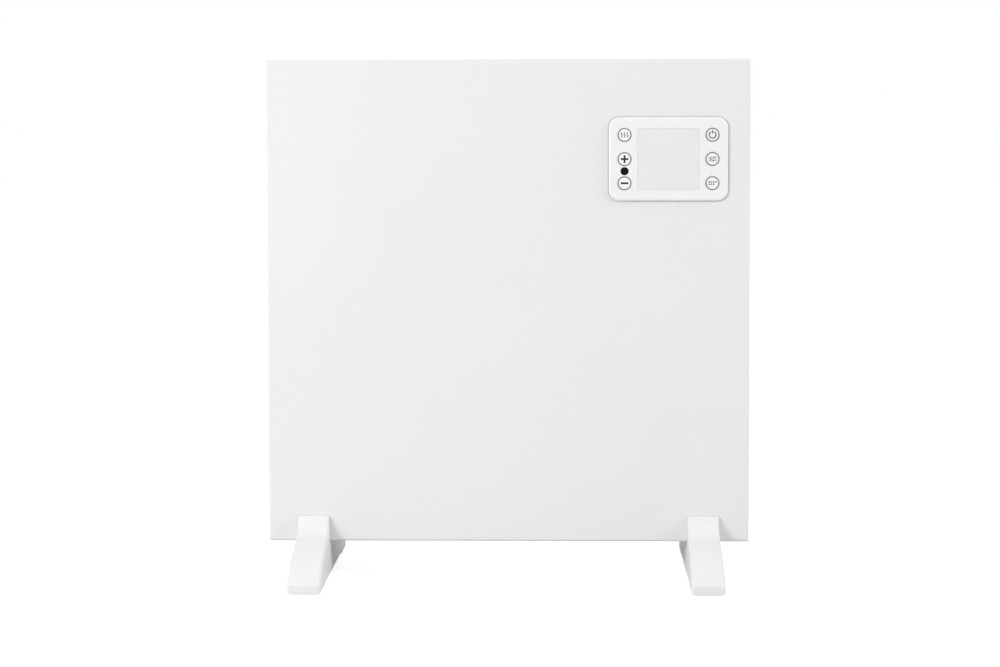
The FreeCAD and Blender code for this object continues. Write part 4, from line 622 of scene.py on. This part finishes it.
def add_button_ring(button, material):
    """A grey band round the edge of a button's cap, wrapped over it: painted shade of the gap between the
    cap and its hole.
    """
    low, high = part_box(button)
    centre = (low + high) / 2
    behind_edge = low.y + 2 * CAP_EDGE * MM
    front = [point.co for point in nodes[button].data.vertices if point.co.y < behind_edge]
    cap = max(math.hypot(point.x - centre.x, point.z - centre.z) for point in front) / MM
    inner = cap - RING_WIDTH
    bend = CAP_EDGE + RING_SKIN
    section = [(inner, RING_ROOT), (inner, RING_BEVEL / 2 - RING_SKIN), (inner + RING_BEVEL, -RING_SKIN)]
    for n in range(RING_EDGE_STEPS + 1):
        a = math.pi / 2 * n / RING_EDGE_STEPS
        section.append((cap - CAP_EDGE + bend * math.sin(a), CAP_EDGE - bend * math.cos(a)))
    section += [(cap - RING_ROOT, CAP_EDGE), (cap - CAP_EDGE, RING_ROOT)]
    build = bmesh.new()
    rows = []
    for n in range(RING_TURNS):
        a = 2 * math.pi * n / RING_TURNS
        row = []
        for radius, depth in section:
            x = centre.x + radius * MM * math.cos(a)
            z = centre.z + radius * MM * math.sin(a)
            row.append(build.verts.new((x, low.y + depth * MM, z)))
        rows.append(row)
    for n, row in enumerate(rows):
        ahead = rows[(n + 1) % RING_TURNS]
        for k in range(len(section)):
            m = (k + 1) % len(section)
            build.faces.new((row[k], ahead[k], ahead[m], row[m]))
    add_piece(button.replace("button", "ring"), build, button, material, smooth=True)


def add_plus_and_minus(material):
    reach = 3.2
    half = 0.76
    add_button_sign("button_plus", [], [plus_shape(reach, half)], material)
    add_button_sign("button_minus", [], [bar(0, 0, 2 * reach, 2 * half)], material)


def add_power_sign(material):
    """An open circle with an upright line in its gap."""
    width = 1.1
    radius = 2.75
    half_gap = 38
    points = 41
    line = [(0, 1.35), (0, 3.35)]
    circle = arc(radius, 90 + half_gap, 450 - half_gap, points)
    add_button_sign("button_power", [stroke(circle, width), stroke(line, width)], [], material)


def add_heat_sign(material):
    """Three upright waves of warm air."""
    width = 0.8
    pitch = 2.4
    swing = 0.42
    tall = 3.5
    steps = 12
    waves = []
    for u in (-pitch, 0, pitch):
        rows = [n / steps for n in range(steps + 1)]
        wave = [(u + swing * math.sin(2 * math.pi * t), -tall / 2 + tall * t) for t in rows]
        waves.append(stroke(wave, width))
    add_button_sign("button_mode", waves, [], material)


def add_slider_sign(material):
    """Three slide controls, each with its knob at another place."""
    width = 0.5
    reach = 3.1
    row = 1.45
    knob_radius = 0.68
    knob_gap = 0.75
    lines = []
    knobs = []
    for v, u in ((row, 1.5), (0, -1.4), (-row, 0.6)):
        lines.append(stroke([(-reach, v), (u - knob_gap, v)], width))
        lines.append(stroke([(u + knob_gap, v), (reach, v)], width))
        knobs.append(disc(u, v, knob_radius))
    add_button_sign("button_set", lines, knobs, material)


def add_week_sign(material):
    """Seven small blocks, four above three."""
    wide = 1.2
    tall = 1.3
    pitch = 1.8
    first = -2.7
    row = 0.95
    days = [bar(first + pitch * n, row, wide, tall) for n in range(4)]
    days += [bar(first + pitch * n, -row, wide, tall) for n in range(3)]
    add_button_sign("button_week", [], days, material)


def add_button_signs():
    dark = ink("black_ink", (0.010, 0.010, 0.010))
    grey = ink("grey_ink", (0.16, 0.16, 0.16))
    # Painted shade: the grey rings over the caps' edges stand for the dark gaps round the buttons.
    painted_shade = ink("painted_gap_shade", (0.20, 0.20, 0.20))
    for button in BUTTONS:
        add_button_ring(button, painted_shade)
    add_plus_and_minus(dark)
    add_power_sign(grey)
    add_heat_sign(grey)
    add_slider_sign(grey)
    add_week_sign(grey)


def rocker_face(upper):
    """Where print goes on one of the rocker's two faces, which meet in a valley above the pivot."""
    rock = next(joint for joint in frame["joints"] if joint["name"] == "switch_rock")
    turn = math.radians(rock["range_deg"][1])
    tilt = turn / 2
    lean = 0 if upper else turn
    side = 1 if upper else -1
    rise = ROCKER_RISE * MM
    normal = Vector((0, math.cos(lean), math.sin(lean)))
    up = Vector((0, -math.sin(lean), math.cos(lean)))
    valley = Vector((0, rise * math.cos(tilt), rise * math.sin(tilt)))
    middle = Vector(rock["pos_m"]) + valley + up * side * ROCKER_SIGN_OFFSET * MM

    def place(u, v, depth):
        return middle + Vector((-u * MM, 0, 0)) + up * v * MM + normal * (PRINT_PROUD - depth) * MM

    return place


def add_rocker_signs():
    """On and off marks on the two faces of the mains rocker."""
    circle_radius = 1.75
    circle_width = 0.6
    circle_end = 350
    circle_points = 36
    line_width = 0.75
    line_height = 4.2
    white = ink("white_ink", (0.70, 0.70, 0.68))
    circle = stroke(arc(circle_radius, 0, circle_end, circle_points), circle_width)
    off = print_shapes([circle], [], rocker_face(upper=True))
    add_piece("sign_off", off, "switch_rocker", white)
    on = print_shapes([], [bar(0, 0, line_width, line_height)], rocker_face(upper=False))
    add_piece("sign_on", on, "switch_rocker", white)


# Floor, light and surroundings, in metres and watts

FLOOR_REACH = 14.0
FLOOR_CELLS = 8
FLOOR_DROP = 0.0002
FLOOR_GLOW = 0.72
LIGHT_TARGET = (0.0, 0.0, 0.23)
DOME_STRENGTH = 0.67
BACKDROP_STRENGTH = 1.0
WHITE_LIGHT = (1.0, 1.0, 1.0, 1.0)


def add_floor():
    """A pale floor that shows as white; the glow is for the camera alone and lights nothing."""
    build = bmesh.new()
    bmesh.ops.create_grid(build, x_segments=FLOOR_CELLS, y_segments=FLOOR_CELLS, size=FLOOR_REACH)
    mesh = bpy.data.meshes.new("studio_floor")
    build.to_mesh(mesh)
    build.free()
    finish = Finish("studio_floor")
    finish.colour(finish.blend(finish.noise(400, detail=2.0), (0.70, 0.688, 0.682), (0.68, 0.668, 0.662)))
    finish.set(Roughness=0.8, Specular_IOR_Level=0.1, Emission_Color=WHITE_LIGHT)
    rays = finish.tree.nodes.new("ShaderNodeLightPath")
    glow = finish.span(rays.outputs["Is Camera Ray"], 0.0, 1.0, 0.0, FLOOR_GLOW)
    finish.link(glow, finish.shader.inputs["Emission Strength"])
    mesh.materials.append(finish.material)
    floor = bpy.data.objects.new("studio_floor", mesh)
    floor.location.z = -FLOOR_DROP
    scene.collection.objects.link(floor)


def add_dome():
    """Even white light from all round, behind it a white backdrop that only the camera sees."""
    world = bpy.data.worlds.new("studio")
    world.use_nodes = True
    tree = world.node_tree
    dome = tree.nodes["Background"]
    backdrop = tree.nodes.new("ShaderNodeBackground")
    for light, strength in ((dome, DOME_STRENGTH), (backdrop, BACKDROP_STRENGTH)):
        light.inputs["Color"].default_value = WHITE_LIGHT
        light.inputs["Strength"].default_value = strength
    rays = tree.nodes.new("ShaderNodeLightPath")
    either = tree.nodes.new("ShaderNodeMixShader")
    tree.links.new(rays.outputs["Is Camera Ray"], either.inputs["Fac"])
    tree.links.new(dome.outputs["Background"], either.inputs[1])
    tree.links.new(backdrop.outputs["Background"], either.inputs[2])
    tree.links.new(either.outputs["Shader"], tree.nodes["World Output"].inputs["Surface"])
    scene.world = world


def add_light(name, place, size, power):
    data = bpy.data.lights.new(name, "AREA")
    data.shape = "DISK"
    data.size = size
    data.energy = power
    light = bpy.data.objects.new(name, data)
    light.visible_camera = False
    light.location = place
    aim = Vector(LIGHT_TARGET) - Vector(place)
    light.rotation_mode = "QUATERNION"
    light.rotation_quaternion = aim.to_track_quat("-Z", "Y")
    scene.collection.objects.link(light)


def add_surroundings():
    add_dome()
    add_light("key_light", place=(-1.84, -1.57, 1.00), size=1.20, power=35.2)
    add_light("fill_light", place=(2.40, -0.55, 1.20), size=1.00, power=27.0)
    scene.view_settings.view_transform = "Standard"
    scene.view_settings.look = "None"


add_camera()
dress_outside()
dress_plastics()
dress_metals()
dress_electrics()
add_button_signs()
add_rocker_signs()
add_floor()
add_surroundings()
